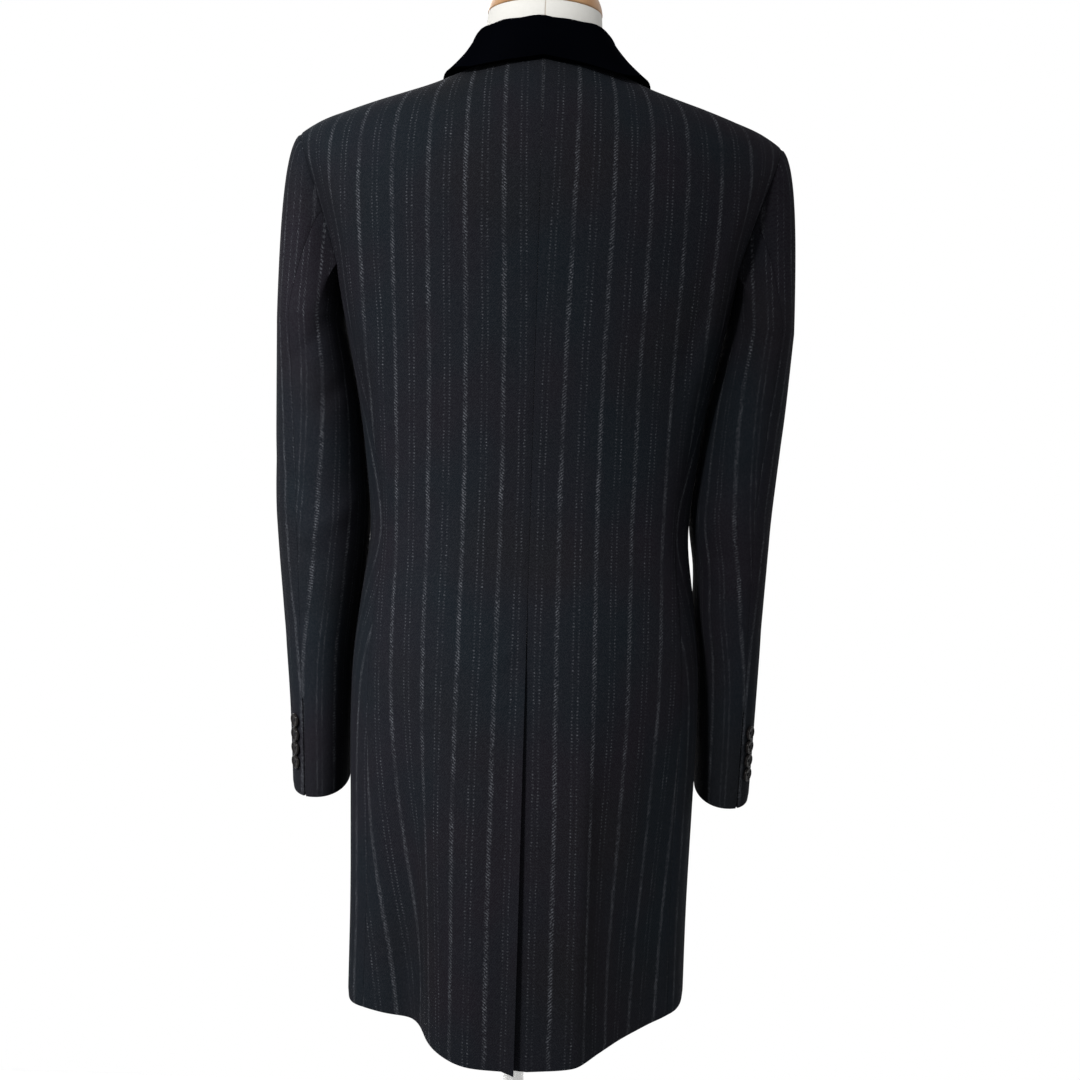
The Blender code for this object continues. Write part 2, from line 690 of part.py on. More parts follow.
# ---------------------------------------------------------------- walls cut from a skin
def cut_wall(skin, label, wall):
    """Points and faces of the wall of cloth under a skin's faces that have this label."""
    faces = [face for face, name in zip(skin.faces, skin.labels) if name == label]
    edges = set()
    for corners in faces:
        edges.update(zip(corners, corners[1:] + corners[:1]))
    rim = [(a, b) for a, b in edges if (b, a) not in edges]
    inward = {}
    for a, b in rim:
        along = skin.points[b] - skin.points[a]
        for k in (a, b):
            direction = np.cross(skin.normals[k], along)
            inward.setdefault(k, []).append(direction / np.linalg.norm(direction))
    used = sorted({k for corners in faces for k in corners})
    order = {k: n for n, k in enumerate(used)}
    outer, inner = [], []
    for k in used:
        shift = np.zeros(3)
        into = -skin.normals[k]
        if k in inward:
            first, last = inward[k]
            shift = 0.5 * SEAM_GAP * (first + last) / max(1 + first.dot(last), 0.4)
        if k in skin.fixed:
            fixed_shift, into, along = skin.fixed[k]
            if k in inward:
                # where another seam ends at the armhole its gap is kept too
                ends_here = first.dot(last) < 0.5
                apart = 0.75 * SEAM_GAP * np.sign(shift.dot(along)) if ends_here else 0.0
                shift = fixed_shift + along * apart
        outer.append(skin.points[k] + shift)
        inner.append(skin.points[k] + shift + into * wall)
    count = len(used)
    solid = [tuple(order[k] for k in corners) for corners in faces]
    solid += [tuple(order[k] + count for k in corners[::-1]) for corners in faces]
    for a, b in rim:
        high, low = order[b], order[a]
        # the same diagonal on both sides of a seam, so that their twisted edges stay parallel
        if tuple(skin.points[a].round(6)) < tuple(skin.points[b].round(6)):
            solid += [(high, low, high + count), (low, low + count, high + count)]
        else:
            solid += [(high, low, low + count), (high, low + count, high + count)]
    return outer + inner, solid


def add_mesh(name, points, faces, material, smooth=True):
    mesh = bpy.data.meshes.new(name)
    mesh.from_pydata([tuple(point) for point in points], [], faces)
    mesh.validate()
    mesh.materials.append(material)
    if smooth:
        mesh.shade_smooth()
        mesh.set_sharp_from_angle(angle=math.radians(35))
    piece = bpy.data.objects.new(name, mesh)
    bpy.context.scene.collection.objects.link(piece)
    return piece


# ---------------------------------------------------------------- coat pieces
def lapel_skin(side, body):
    """The turned-back front edge, made from the front's points moved out."""
    skin = Skin()
    first = ROLL_LINE_X.index(GORGE_X) + 1
    last = len(ROLL_LINE_X) if side > 0 else len(ROLL_LINE_X) - 2
    stations = body.roll_line[first:last + 1]
    top_z = body.points[stations[0]][2]
    low_z = body.points[stations[-1]][2]
    grid = []
    for index in stations:
        root = body.points[index]
        x0, z0 = side * root[0], root[2]
        share = (z0 - low_z) / (top_z - low_z)
        width = (LAPEL_TIP[0] - GORGE_X) * (0.06 + 0.94 * share ** 0.62)
        drop = (top_z - LAPEL_TIP[1]) * share ** 2
        row = []
        for q in range(LAPEL_CELLS + 1):
            t = q / LAPEL_CELLS
            x, z = x0 + width * t, z0 - drop * t
            surface, facing = front_surface(side, x, z)
            if q == 0:
                surface, facing = root, body.normals[index]
            lift = LAPEL_EDGE_GAP + (LAY_GAP - LAPEL_EDGE_GAP) * min(3 * t, 1.0)
            lift += LAPEL_ROLL * share * math.sin(math.pi * min(1.5 * t, 1.0))
            row.append(skin.add(surface + facing * (WALL + lift)))
        grid.append(row)
    for i in range(len(grid) - 1):
        for q in range(LAPEL_CELLS):
            corners = (grid[i][q], grid[i + 1][q], grid[i + 1][q + 1], grid[i][q + 1])
            skin.face(corners if side > 0 else corners[::-1], "lapel")
    skin.finish_normals()
    return skin


def front_surface(side, x, z):
    """A point of the front's outside and the direction it faces."""
    step = 0.002
    point = body_point(side, x / half_width(z), z, False)
    beside = body_point(side, (x + step) / half_width(z), z, False) - point
    above = body_point(side, x / half_width(z + step), z + step, False) - point
    facing = np.cross(beside, above) * side
    point[1] -= lap_move(side, x)
    return point, facing / np.linalg.norm(facing)


def collar_skin(left, right):
    """Stand, fold and fall in one strip, its foot on the neckline's own points."""
    skin = Skin()
    gorge = ROLL_LINE_X.index(GORGE_X) + 1
    stations = []
    for side, body in ((-1, right), (+1, left)):
        feet = list(body.back_neck) + list(body.roll_line[1:gorge + 1])
        half = []
        for k, index in enumerate(feet):
            half.append((side, body, index, COLLAR_ROWS[k]))
        stations.append(half)
    line = stations[0][::-1] + stations[1][1:]
    grid = []
    neckline = [body.points[index] for _, body, index, _ in line]
    for k, (side, body, index, row) in enumerate(line):
        fold_x, fold_y, fold_z, edge_x, edge_y, lift = row
        along = neckline[min(k + 1, len(line) - 1)] - neckline[max(k - 1, 0)]
        beyond = np.cross(along, body.normals[index])
        beyond *= COLLAR_FOOT_GAP / np.linalg.norm(beyond)
        foot = body.points[index] - body.normals[index] * WALL + beyond
        fold = np.array([side * fold_x, fold_y, fold_z])
        edge_x = side * edge_x - COLLAR_SHIFT * ease(edge_x, 0.0, 0.1)
        edge = np.array([edge_x, edge_y, roof_height(edge_x, edge_y) + lift])
        out = edge - fold
        out[2] = 0.0
        out /= np.linalg.norm(out)
        up = np.array([0.0, 0.0, 1.0])
        centre = fold - up * COLLAR_ROLL
        inner_top = centre - out * COLLAR_ROLL
        outer_top = centre + out * COLLAR_ROLL
        points = [foot, foot + (inner_top - foot) * 0.5]
        for k in range(5):
            turn = math.pi * (1 - k / 4)
            points.append(centre + out * COLLAR_ROLL * math.cos(turn) + up * COLLAR_ROLL * math.sin(turn))
        for k in range(1, 5):
            t = k / 4
            belly = COLLAR_BELLY * math.sin(math.pi * t) * (1 - 1.4 * ease(fold_x, 0.035, 0.065))
            points.append(outer_top + (edge - outer_top) * t + out * belly)
        grid.append([skin.add(point) for point in points])
        skin.fixed[grid[-1][0]] = (np.zeros(3), body.normals[index], np.zeros(3))
    for i in range(len(grid) - 1):
        for j in range(len(grid[0]) - 1):
            skin.face((grid[i][j], grid[i][j + 1], grid[i + 1][j + 1], grid[i + 1][j]), "collar")
    skin.finish_normals()
    return skin


def turn_to(facing):
    """Rotation that turns +Z to a direction."""
    facing = facing / np.linalg.norm(facing)
    across = np.cross([0.0, 0.0, 1.0], facing)
    across /= np.linalg.norm(across)
    upward = np.cross(facing, across)
    return np.array([across, upward, facing]).T


def spot_on(skin, first, share, height):
    """Point and facing of the flat face between two neighbouring columns at a height."""
    ends = []
    for column in (skin.columns[first], skin.columns[first + 1]):
        points = sorted((skin.points[k] for k in column), key=lambda point: point[2])
        above = next(k for k, point in enumerate(points) if point[2] > height)
        low, high = points[above - 1], points[above]
        ends.append(low + (high - low) * (height - low[2]) / (high[2] - low[2]))
        rise = high - low
    across = ends[1] - ends[0]
    facing = np.cross(across, rise)
    facing /= np.linalg.norm(facing)
    return ends[0] + across * share, facing


def make_cuff_buttons(side, name, sleeve, material):
    """Four buttons that all but touch, up the vent on the top sleeve."""
    for k in range(CUFF_BUTTON_COUNT):
        height = CUFF_BUTTON_LOW_Z + CUFF_BUTTON_PITCH * k
        inset = CUFF_BUTTON_INSET
        column = SEAM_STEP
        while True:
            near, _ = spot_on(sleeve, column, 0.0, height)
            far, _ = spot_on(sleeve, column, 1.0, height)
            width = np.linalg.norm(far - near)
            if inset <= width:
                break
            inset -= width
            column += 1
        place, facing = spot_on(sleeve, column, inset / width, height)
        if facing[1] < 0:
            facing = -facing
        place = place + facing * CUFF_BUTTON_SEAT
        make_button("cuff_button_%s_%d" % (name, k + 1), place, facing, CUFF_BUTTON, material)


def make_front_buttons(body, material):
    """Three buttons down the centre line on the left front."""
    column = len(body.columns) - 3
    for k, height in enumerate(FRONT_BUTTON_HEIGHTS):
        left, _ = spot_on(body, column, 0.0, height)
        right, _ = spot_on(body, column, 1.0, height)
        share = left[0] / (left[0] - right[0])
        place, facing = spot_on(body, column, share, height)
        if facing[1] > 0:
            facing = -facing
        place = place + facing * FRONT_BUTTON_SEAT
        make_button("front_button_%d" % (k + 1), place, facing, FRONT_BUTTON, material)


def make_button(name, place, facing, size, material):
    """A turned button with a raised rim and a dished middle, its back on the cloth."""
    radius, thickness = size
    profile = (
        (0.72, 0.00), (0.97, 0.35), (1.00, 0.70), (0.90, 1.00), (0.72, 0.96), (0.55, 0.72),
    )
    sides = 16
    turn = turn_to(facing)
    points, faces = [], []
    for out, up in profile:
        for k in range(sides):
            angle = 2 * math.pi * k / sides
            local = np.array([out * radius * math.cos(angle), out * radius * math.sin(angle), up * thickness])
            points.append(place + turn @ local)
    for i in range(len(profile) - 1):
        for k in range(sides):
            after = (k + 1) % sides
            faces.append((i * sides + k, i * sides + after, (i + 1) * sides + after, (i + 1) * sides + k))
    faces.append(tuple(range(sides))[::-1])
    last = (len(profile) - 1) * sides
    faces.append(tuple(range(last, last + sides)))
    return add_mesh(name, points, faces, material)


# ---------------------------------------------------------------- dress form and stand
def turned(name, profile, sides, material):
    """A solid of revolution about Z from (radius, height) pairs, bottom to top."""
    points, faces = [], []
    for radius, height in profile:
        for k in range(sides):
            angle = 2 * math.pi * k / sides
            points.append((radius * math.cos(angle), radius * math.sin(angle), height))
    for i in range(len(profile) - 1):
        for k in range(sides):
            after = (k + 1) % sides
            faces.append((i * sides + k, i * sides + after, (i + 1) * sides + after, (i + 1) * sides + k))
    faces.append(tuple(range(sides))[::-1])
    last = (len(profile) - 1) * sides
    faces.append(tuple(range(last, last + sides)))
    return add_mesh(name, points, faces, material)


def make_stand(materials):
    """Wooden neck cap above the form, and the pole and base below it."""
    cap_foot = FORM_NECK_TOP_Z + SEAM_GAP
    profile = [(FORM_NECK_RADIUS, cap_foot)]
    for k in range(1, 6):
        turn = 0.5 * math.pi * k / 5.6
        profile.append((FORM_NECK_RADIUS * math.cos(turn) ** 0.8, cap_foot + CAP_HEIGHT * math.sin(turn)))
    turned("form_cap", profile, 28, materials["wood"])
    hub_top = BASE_HEIGHT + HUB_HEIGHT
    turned("stand_pole", [(POLE_RADIUS, hub_top + SEAM_GAP), (POLE_RADIUS, FORM_BOTTOM_Z - SEAM_GAP)],
           20, materials["lacquer"])
    base = [
        (BASE_RADIUS, 0.0), (BASE_RADIUS, 0.6 * BASE_HEIGHT), (0.97 * BASE_RADIUS, BASE_HEIGHT),
        (1.6 * HUB_RADIUS, BASE_HEIGHT + 0.002), (HUB_RADIUS, BASE_HEIGHT + 0.010),
        (0.75 * HUB_RADIUS, hub_top),
    ]
    turned("stand_base", base, 36, materials["lacquer"])


def make_form(material):
    """Linen torso with its neck: the coat's plain surface drawn in by the ease, then closed."""
    skin = Skin()
    neck_rings = []
    holes = []
    for side in (+1, -1):
        shares = back_shares()
        columns = [
            back_column(side, share, FORM_BOTTOM_Z, False, FORM_NECK_DROP) for share in shares
        ]
        columns += [side_column(side, k / SIDE_CELLS, FORM_BOTTOM_Z, False)
                    for k in range(1, SIDE_CELLS)]
        weights = front_weights()[:SHOULDER_COLUMNS + 1]
        columns += [form_front_column(side, weight, 1.0) for weight in weights]
        for k in range(1, BACK_NECK_COLUMNS + 1):
            columns.append(form_front_column(side, weights[-1], 1 - k / BACK_NECK_COLUMNS))
        columns = [[skin.add(point) for point in column] for column in columns]
        back_edge = len(shares) - 1
        front_start = back_edge + SIDE_CELLS
        for k in range(SHOULDER_COLUMNS + 1):
            columns[front_start + k][-1] = columns[back_edge - k][-1]
        if side < 0:
            columns[0], columns[-1] = centre_back, centre_front
        centre_back, centre_front = columns[0], columns[-1]
        add_columns(skin, side, columns, back_edge)
        ring = [column[-1] for column in columns[:BACK_NECK_COLUMNS + 1]]
        ring += [column[-1] for column in columns[front_start + SHOULDER_COLUMNS + 1:]]
        neck_rings.append(ring)
        hole = columns[back_edge][LOWER_ROWS:] + columns[front_start][LOWER_ROWS:-1][::-1]
        hole += [columns[back_edge + k][-1] for k in range(SIDE_CELLS - 1, 0, -1)]
        holes.append(hole)
        if side > 0:
            bottom = [column[0] for column in columns]
        else:
            bottom += [column[0] for column in columns[-2:0:-1]]
    skin.finish_normals()
    points = []
    for point, normal in zip(skin.points, skin.normals):
        drop = ridge_height(abs(point[0])) - point[2]
        room = form_ease(drop) + FORM_NECK_EASE * (1 - ease(abs(point[0]), 0.080, 0.105))
        point = point - normal * (WALL + room)
        if point[2] > ARMPIT_Z - 2 * UNDERARM_DIP:
            point[0] *= 1 - FORM_TIP_INSET * ease(abs(point[0]), 0.185, 0.235)
        points.append(point)
    for k in bottom:
        points[k][2] = FORM_BOTTOM_Z
    faces = list(skin.faces)
    faces.append(tuple(bottom))
    for side, hole in zip((+1, -1), holes):
        rim = np.array([points[k] for k in hole])
        middle = len(points)
        points.append(rim.mean(axis=0))
        for a, b in zip(hole, hole[1:] + hole[:1]):
            faces.append((a, b, middle) if side > 0 else (b, a, middle))
    loop = neck_rings[0] + neck_rings[1][-2:0:-1]
    top = FORM_NECK_TOP_Z
    for t in FORM_NECK_STEPS:
        ring = []
        for index in neck_rings[0] + neck_rings[1][-2:0:-1]:
            foot = points[index]
            angle = math.atan2(foot[1], foot[0])
            rim = np.array([FORM_NECK_RADIUS * math.cos(angle), FORM_NECK_RADIUS * math.sin(angle), top])
            point = foot + (rim - foot) * t
            point[2] = foot[2] + (top - foot[2]) * t ** FORM_NECK_FLARE
            ring.append(len(points))
            points.append(point)
        for a, b, c, d in zip(loop, loop[1:] + loop[:1], ring[1:] + ring[:1], ring):
            faces.append((d, c, b, a))
        loop = ring
    faces.append(tuple(loop)[::-1])
    return add_mesh("form_torso", points, faces, material)


def main():
    for thing in list(bpy.data.objects):
        bpy.data.objects.remove(thing, do_unlink=True)
    materials = {name: finish(name) for name in FINISHES}
    cloth = materials["coat_cloth"]
    bodies = {}
    for side, name in ((+1, "left"), (-1, "right")):
        body = body_skin(side)
        sleeve = sleeve_skin(side, body)
        share_armhole(body, sleeve)
        for panel in ("back", "front"):
            add_mesh(panel + "_" + name, *cut_wall(body, panel, WALL), cloth)
        for half in ("top", "under"):
            add_mesh(half + "_sleeve_" + name, *cut_wall(sleeve, half, WALL), cloth)
        add_mesh("lapel_" + name, *cut_wall(lapel_skin(side, body), "lapel", WALL), cloth)
        make_cuff_buttons(side, name, sleeve, materials["button"])
        bodies[side] = body
    make_front_buttons(bodies[+1], materials["button"])
    collar = collar_skin(bodies[+1], bodies[-1])
    add_mesh("collar", *cut_wall(collar, "collar", VELVET_WALL), materials["velvet"])
    make_form(materials["linen"])
    make_stand(materials)


main()
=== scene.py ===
"""Chalk-striped chesterfield coat with a velvet collar on its dress form: the visible model.

The tables and the surface functions are the CAD source's own, on finer grids. What is added
here is the cloth's creases, pressed edges, stripes, twill, velvet, linen and wood.
"""
import math

import bpy
import numpy as np
from mathutils import Matrix, Vector


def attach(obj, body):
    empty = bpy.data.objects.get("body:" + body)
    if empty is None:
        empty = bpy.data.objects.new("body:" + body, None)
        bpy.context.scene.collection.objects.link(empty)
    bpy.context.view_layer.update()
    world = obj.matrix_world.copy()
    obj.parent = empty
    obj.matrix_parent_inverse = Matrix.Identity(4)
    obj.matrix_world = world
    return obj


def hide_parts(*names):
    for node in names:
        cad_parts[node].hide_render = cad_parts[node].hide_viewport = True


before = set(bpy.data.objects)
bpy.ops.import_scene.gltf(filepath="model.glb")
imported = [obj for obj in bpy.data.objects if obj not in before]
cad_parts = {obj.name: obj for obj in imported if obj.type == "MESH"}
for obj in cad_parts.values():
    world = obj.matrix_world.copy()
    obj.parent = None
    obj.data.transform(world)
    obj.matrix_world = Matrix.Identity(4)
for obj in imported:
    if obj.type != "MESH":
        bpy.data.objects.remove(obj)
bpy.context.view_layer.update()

# ---------------------------------------------------------------- driving dimensions, metres
WALL = 0.0021                 # coat cloth with its lining
VELVET_WALL = 0.0022
SEAM_GAP = 0.0003
LAY_GAP = 0.0012              # between a lapel or an overlap and the panel that it lies on

HEM_Z = 0.500                 # hem at the sides
HEM_DIP = 0.015               # how much lower the hem is at the centre back
ARMPIT_Z = 1.235              # where the side seam meets the armhole
UNDERARM_DIP = 0.018
VENT_TOP_ROW = 48             # counted from the hem, in the lower rows
VENT_UNDERLAP = 0.034
VENT_FLARE = 0.010            # how far the vent's upper edge stands off at the hem
VENT_COLUMNS = 4              # over which the vent's edges leave the plain back
VENT_FADE_ROWS = 8            # over which the lower edge comes back out above the vent
UNDERLAP_CELLS = 8
UNDERLAP_TAPER = 0.25         # share by which the underlap is narrower at the vent's top
UNDERLAP_SINK = 0.0030
TURN_ROOM = 0.080             # least height of the rows that crowd towards a column's top
SHOULDER_HALF = 0.240
NECK_HALF_WIDTH = 0.078       # neck point, on the shoulder ridge
BACK_NECK_DROP = 0.030
BREAK_Z = 1.130               # where the lapel's roll line reaches the front edge
FRONT_OVERLAP = 0.020         # of each front past the centre line
LAP_FADE = (0.025, 0.070)     # distances from the centre over which the overlap's step fades
ROLL_LINE_POWER = 0.92        # below 1 the roll line bows out
GORGE_X = 0.0585              # where the collar meets the roll line
TIP_RATIO = 0.965             # armhole edge at the shoulder tip, as a share of the half width

# height, half width, back depth, front depth, power of the back's and the front's section,
# which is a superellipse
BODY_ROWS = (
    (0.480, 0.1715, 0.176, 0.150, 1.75, 2.10),
    (0.600, 0.1720, 0.166, 0.142, 1.90, 2.20),
    (0.700, 0.1745, 0.155, 0.136, 2.10, 2.30),
    (0.780, 0.1765, 0.145, 0.132, 2.25, 2.40),
    (0.850, 0.1750, 0.134, 0.128, 2.40, 2.40),
    (0.910, 0.1690, 0.121, 0.123, 2.40, 2.40),
    (0.970, 0.1625, 0.109, 0.119, 2.40, 2.40),
    (1.045, 0.1680, 0.109, 0.122, 2.40, 2.40),
    (1.110, 0.1770, 0.116, 0.128, 2.40, 2.40),
    (1.160, 0.1870, 0.122, 0.131, 2.40, 2.40),
    (1.205, 0.1960, 0.126, 0.132, 2.40, 2.40),
    (1.250, 0.2060, 0.129, 0.130, 2.40, 2.40),
    (1.310, 0.2270, 0.130, 0.124, 2.40, 2.40),
    (1.345, 0.2420, 0.130, 0.118, 2.40, 2.40),
    (1.370, 0.2515, 0.130, 0.112, 2.40, 2.40),
    (1.480, 0.2515, 0.130, 0.106, 2.40, 2.40),
)
# height, side seam as a share of the half width on the back, front line of the armhole
EDGE_ROWS = (
    (0.480, 0.888, 0.930),
    (0.800, 0.870, 0.930),
    (1.000, 0.905, 0.930),
    (1.235, 0.978, 0.930),
    (1.250, 0.982, 0.932),
    (1.300, 0.980, 0.945),
    (1.340, 0.970, 0.958),
    (1.368, 0.965, 0.965),
    (1.480, 0.965, 0.965),
)
# distance from the centre, ridge of the shoulder above the floor, its depth
RIDGE_ROWS = (
    (0.000, 1.4620, -0.004),
    (0.045, 1.4480, -0.004),
    (0.078, 1.4330, -0.005),
    (0.107, 1.4205, -0.006),
    (0.137, 1.4105, -0.007),
    (0.161, 1.4030, -0.008),
    (0.190, 1.3930, -0.009),
    (0.222, 1.3810, -0.011),
    (0.2427, 1.3690, -0.012),
    (0.260, 1.3550, -0.012),
)
BACK_ROUND = (0.190, 0.120)   # height over which the back rounds into the ridge: centre, tip
FRONT_ROUND = (0.260, 0.120)

# side (+1 left), share of the half width, spread, height of the deepest place, its reach up and
# down, outward move: the blade drape beside each armhole, then the skirt's flutes
FOLD_ROWS = (
    (+1, 0.870, 0.055, 1.235, 0.090, 0.100, 0.0085),
    (-1, 0.870, 0.055, 1.225, 0.100, 0.100, 0.0095),
    (+1, 0.280, 0.140, 0.470, 0.260, 0.100, 0.0060),
    (+1, 0.650, 0.170, 0.470, 0.240, 0.100, -0.0420),
    (+1, 0.930, 0.060, 0.470, 0.260, 0.100, 0.0100),
    (-1, 0.320, 0.140, 0.470, 0.360, 0.100, 0.0080),
    (-1, 0.640, 0.200, 0.470, 0.280, 0.100, -0.0160),
    (-1, 0.930, 0.080, 0.470, 0.260, 0.100, 0.0050),
    (+1, 0.930, 0.060, 0.980, 0.080, 0.080, -0.0030),
    (-1, 0.930, 0.060, 0.980, 0.080, 0.080, -0.0040),
)
# the same on the front
FRONT_FOLD_ROWS = (
    (+1, 0.600, 0.120, 0.470, 0.320, 0.100, 0.0080),
    (+1, 0.800, 0.090, 0.520, 0.260, 0.100, -0.0060),
    (-1, 0.520, 0.120, 0.470, 0.300, 0.100, 0.0070),
    (-1, 0.760, 0.090, 0.500, 0.280, 0.100, -0.0060),
    (+1, 0.820, 0.070, 1.240, 0.080, 0.090, 0.0060),
    (-1, 0.820, 0.070, 1.230, 0.080, 0.090, 0.0060),
)

BACK_NECK_COLUMNS = 16
# columns under the shoulder seam, as shares of the way from the centre to the armhole's edge
SHOULDER_SHARES = (0.45, 0.57, 0.68, 0.78, 0.865, 0.935, 1.0)
SHOULDER_STEPS = 6            # fine columns in each of these
SHOULDER_COLUMNS = SHOULDER_STEPS * len(SHOULDER_SHARES)
NECK_STEPS = 4                # fine columns in each column beside the neck or the roll line
SIDE_CELLS = 30
LOWER_ROWS = 96
UPPER_ROWS = 40
# distances from the centre of the front columns that end on the roll line, at their tops
ROLL_LINE_X = (0.0725, 0.0660, 0.0585, 0.0450, 0.0320, 0.0190, 0.0060, -0.0070, -0.0200)

# height of each sleeve's oval, inner and outer x of the left one and of the right one, back y and
# front y of both
SLEEVE_ROWS = (
    (1.180, 0.1938, 0.2590, 0.1938, 0.2590, 0.078, -0.086),
    (1.100, 0.1770, 0.2590, 0.1770, 0.2540, 0.076, -0.088),
    (1.040, 0.1692, 0.2588, 0.1690, 0.2490, 0.072, -0.089),
    (0.990, 0.1650, 0.2582, 0.1648, 0.2455, 0.067, -0.090),
    (0.940, 0.1674, 0.2545, 0.1712, 0.2435, 0.061, -0.091),
    (0.895, 0.1724, 0.2506, 0.1726, 0.2419, 0.055, -0.092),
    (0.850, 0.1774, 0.2470, 0.1774, 0.2410, 0.049, -0.093),
    (0.800, 0.1795, 0.2435, 0.1795, 0.2400, 0.042, -0.094),
    (0.705, 0.1825, 0.2400, 0.1825, 0.2380, 0.026, -0.094),
)
SLEEVE_POWER = 2.2
CAP_ROWS = 25
CAP_FULLNESS = 0.38           # how far the sleeve head rounds out of the armhole
ARM_ROWS = 70
CUFF_DIP = 0.006              # the cuff's hind side is lower than its fore side
HIND_ANGLE = 70.0             # hind seam round the sleeve, from its outer side, degrees
FORE_ANGLE = 290.0
BACK_LOW_ANGLE = 112.0        # foot of the armhole's back edge, round the sleeve
FRONT_LOW_ANGLE = 246.0
SEAM_STEP = 10                # armhole points below the hind and fore seams
CUFF_VENT_ROWS = 14
CUFF_UNDERLAP = 0.022
CUFF_LAP_CELLS = 5
CUFF_TUCK_ANGLE = 1.2         # how far the under sleeve's edge goes back under the top sleeve's
FACING_STEP = 3.0             # degrees to each side that a sleeve's facing is taken over

CUFF_BUTTON = (0.0071, 0.0032)      # radius, thickness
CUFF_BUTTON_COUNT = 4
CUFF_BUTTON_LOW_Z = 0.735
CUFF_BUTTON_PITCH = 0.0147
CUFF_BUTTON_INSET = 0.0095          # from the vent's edge
FRONT_BUTTON = (0.0110, 0.0042)
CUFF_BUTTON_SEAT = 0.0005           # between a button's back and the cloth
FRONT_BUTTON_SEAT = 0.0011
FRONT_BUTTON_HEIGHTS = (1.103, 1.013, 0.914)

# plan x, plan y of the fold, its height, plan x and y of the fall's edge, its lift off the coat
COLLAR_ROWS = (
    (0.000, 0.0680, 1.4690, 0.0000, 0.0735, 0.0065),
    (0.022, 0.0650, 1.4675, 0.0250, 0.0710, 0.0065),
    (0.0425, 0.0545, 1.4670, 0.0540, 0.0660, 0.0065),
    (0.0586, 0.0325, 1.4650, 0.0790, 0.0515, 0.0060),
    (0.0672, -0.0020, 1.4600, 0.0990, 0.0090, 0.0055),
    (0.0680, -0.0280, 1.4480, 0.1055, -0.0290, 0.0050),
    (0.0665, -0.0480, 1.4270, 0.1050, -0.0600, 0.0050),
    (0.0620, -0.0660, 1.4020, 0.0990, -0.0790, 0.0050),
)
COLLAR_ROLL = 0.0048          # radius of the fold
COLLAR_BELLY = 0.0022         # how far the fall rounds out behind, and in over the shoulders
COLLAR_HOLLOW = 1.4           # share of the belly that is taken away over the shoulders
COLLAR_HOLLOW_REACH = (0.035, 0.065)    # the fold's x at which that starts and is full
COLLAR_SHIFT = 0.004          # the fall lies this much towards the right shoulder
COLLAR_SHIFT_REACH = 0.1      # the edge's x at which the shift is full
COLLAR_FOOT_GAP = 0.0009
LAPEL_TIP = (0.128, 1.330)
LAPEL_CELLS = 24
LAPEL_ROLL = 0.0030           # how far the lapel rolls out beside the roll line
LAPEL_EDGE_GAP = 0.0007

FORM_BOTTOM_Z = 0.720
# distance below the shoulder ridge, room between the form and the coat that rests on it
FORM_EASE_ROWS = (
    (0.000, 0.0005),
    (0.012, 0.0007),
    (0.060, 0.0040),
    (0.150, 0.0110),
    (0.300, 0.0120),
    (0.450, 0.0100),
    (0.800, 0.0160),
)
FORM_NECK_EASE = 0.0035       # more room beside the neck
FORM_NECK_REACH = (0.080, 0.105)        # distances from the centre over which it fades
FORM_TIP_INSET = 0.018        # share by which the form is narrower at the armholes
FORM_TIP_REACH = (0.185, 0.235)
FORM_NECK_DROP = 0.029
FORM_FRONT_DROP = 0.050
FORM_NECK_STEPS = tuple(k / 14 for k in range(1, 15))
FORM_NECK_RADIUS = 0.0574
FORM_NECK_TOP_Z = 1.490
FORM_NECK_FLARE = 6           # how late the neck turns upright above its foot
CAP_HEIGHT = 0.0358
CAP_BEVEL = 0.001
CAP_STEPS = 26
CAP_POWER = 0.8               # below 1 the wooden cap is squarer than a dome
POLE_RADIUS = 0.0105
BASE_RADIUS = 0.1857
BASE_HEIGHT = 0.016
HUB_RADIUS = 0.028
HUB_HEIGHT = 0.036

LAPEL_WIDTH_SHARES = (0.06, 0.94, 0.62)     # at the break, gained up to the gorge, power
COLLAR_CELLS = (8, 10, 20)    # rows of the stand, the fold and the fall
COLLAR_WAVES = ((0.0006, 2.1, 0.6), (0.0005, 4.7, 0.0))     # height, turns a station, start
# outward lean at the underarm, more at the tip, share straight on
CAP_LEAVE = (0.20, 1.15, 0.8)
CAP_ARRIVE = 0.6              # how steeply the sleeve head runs into the sleeve
CAP_STRIPE_REACH = 0.03       # over which the cap's stripes turn from the ring's to upright ones
CREASE_REACH = 3              # half breadths at which a crease is cut off
SLEEVE_CREASE_REACH = 2.2     # the same round the sleeve
CREASE_START = 0.08           # half-width share over which creases come in beside the centre
CREASE_GIRTH = 0.18           # turns a crease's share of the half width into a length
SLEEVE_GIRTH = 0.04           # turns a sleeve crease's depth into a share of the oval
# shares of a crease's length: it swells between the first two, fades between the last two
FADE = (-0.25, 0.35, 0.65, 1.25)
MITRE_LIFT = 0.25             # the armhole's mitre leans up this much
CORNER_LIMIT = 0.4            # keeps the seam's gap from growing at a sharp corner
SEAM_END_GAP = 0.75 * SEAM_GAP          # where a panel's seam ends on the armhole
EDGE_DROP = 0.0007            # how far a panel's edge is pressed down at a seam or a hem
STRIPE_PITCH = 0.0360
STRIPE_LEVELS = (0.46, 1.48, 0.004)     # heights at which the body's girth is measured
SLEEVE_CLOTH_TOP = 1.3        # cloth height at which a sleeve starts
STRIPE_EVEN_RINGS = 8         # sleeve rings on each side that a stripe's place is evened over
BROAD_STRIPE = (0.0, 0.0010, 0.0017)        # place across, half width, fading
FINE_STRIPE = (0.0026, 0.0002, 0.0008)      # the same, from the middle between broad ones
YARN_WANDER = 0.0018
RAGGED_EDGE = 0.0030
TWILL_PITCH = 0.0023
HATCH_PITCH = 0.0030          # of the slanting breaks in the broad stripe
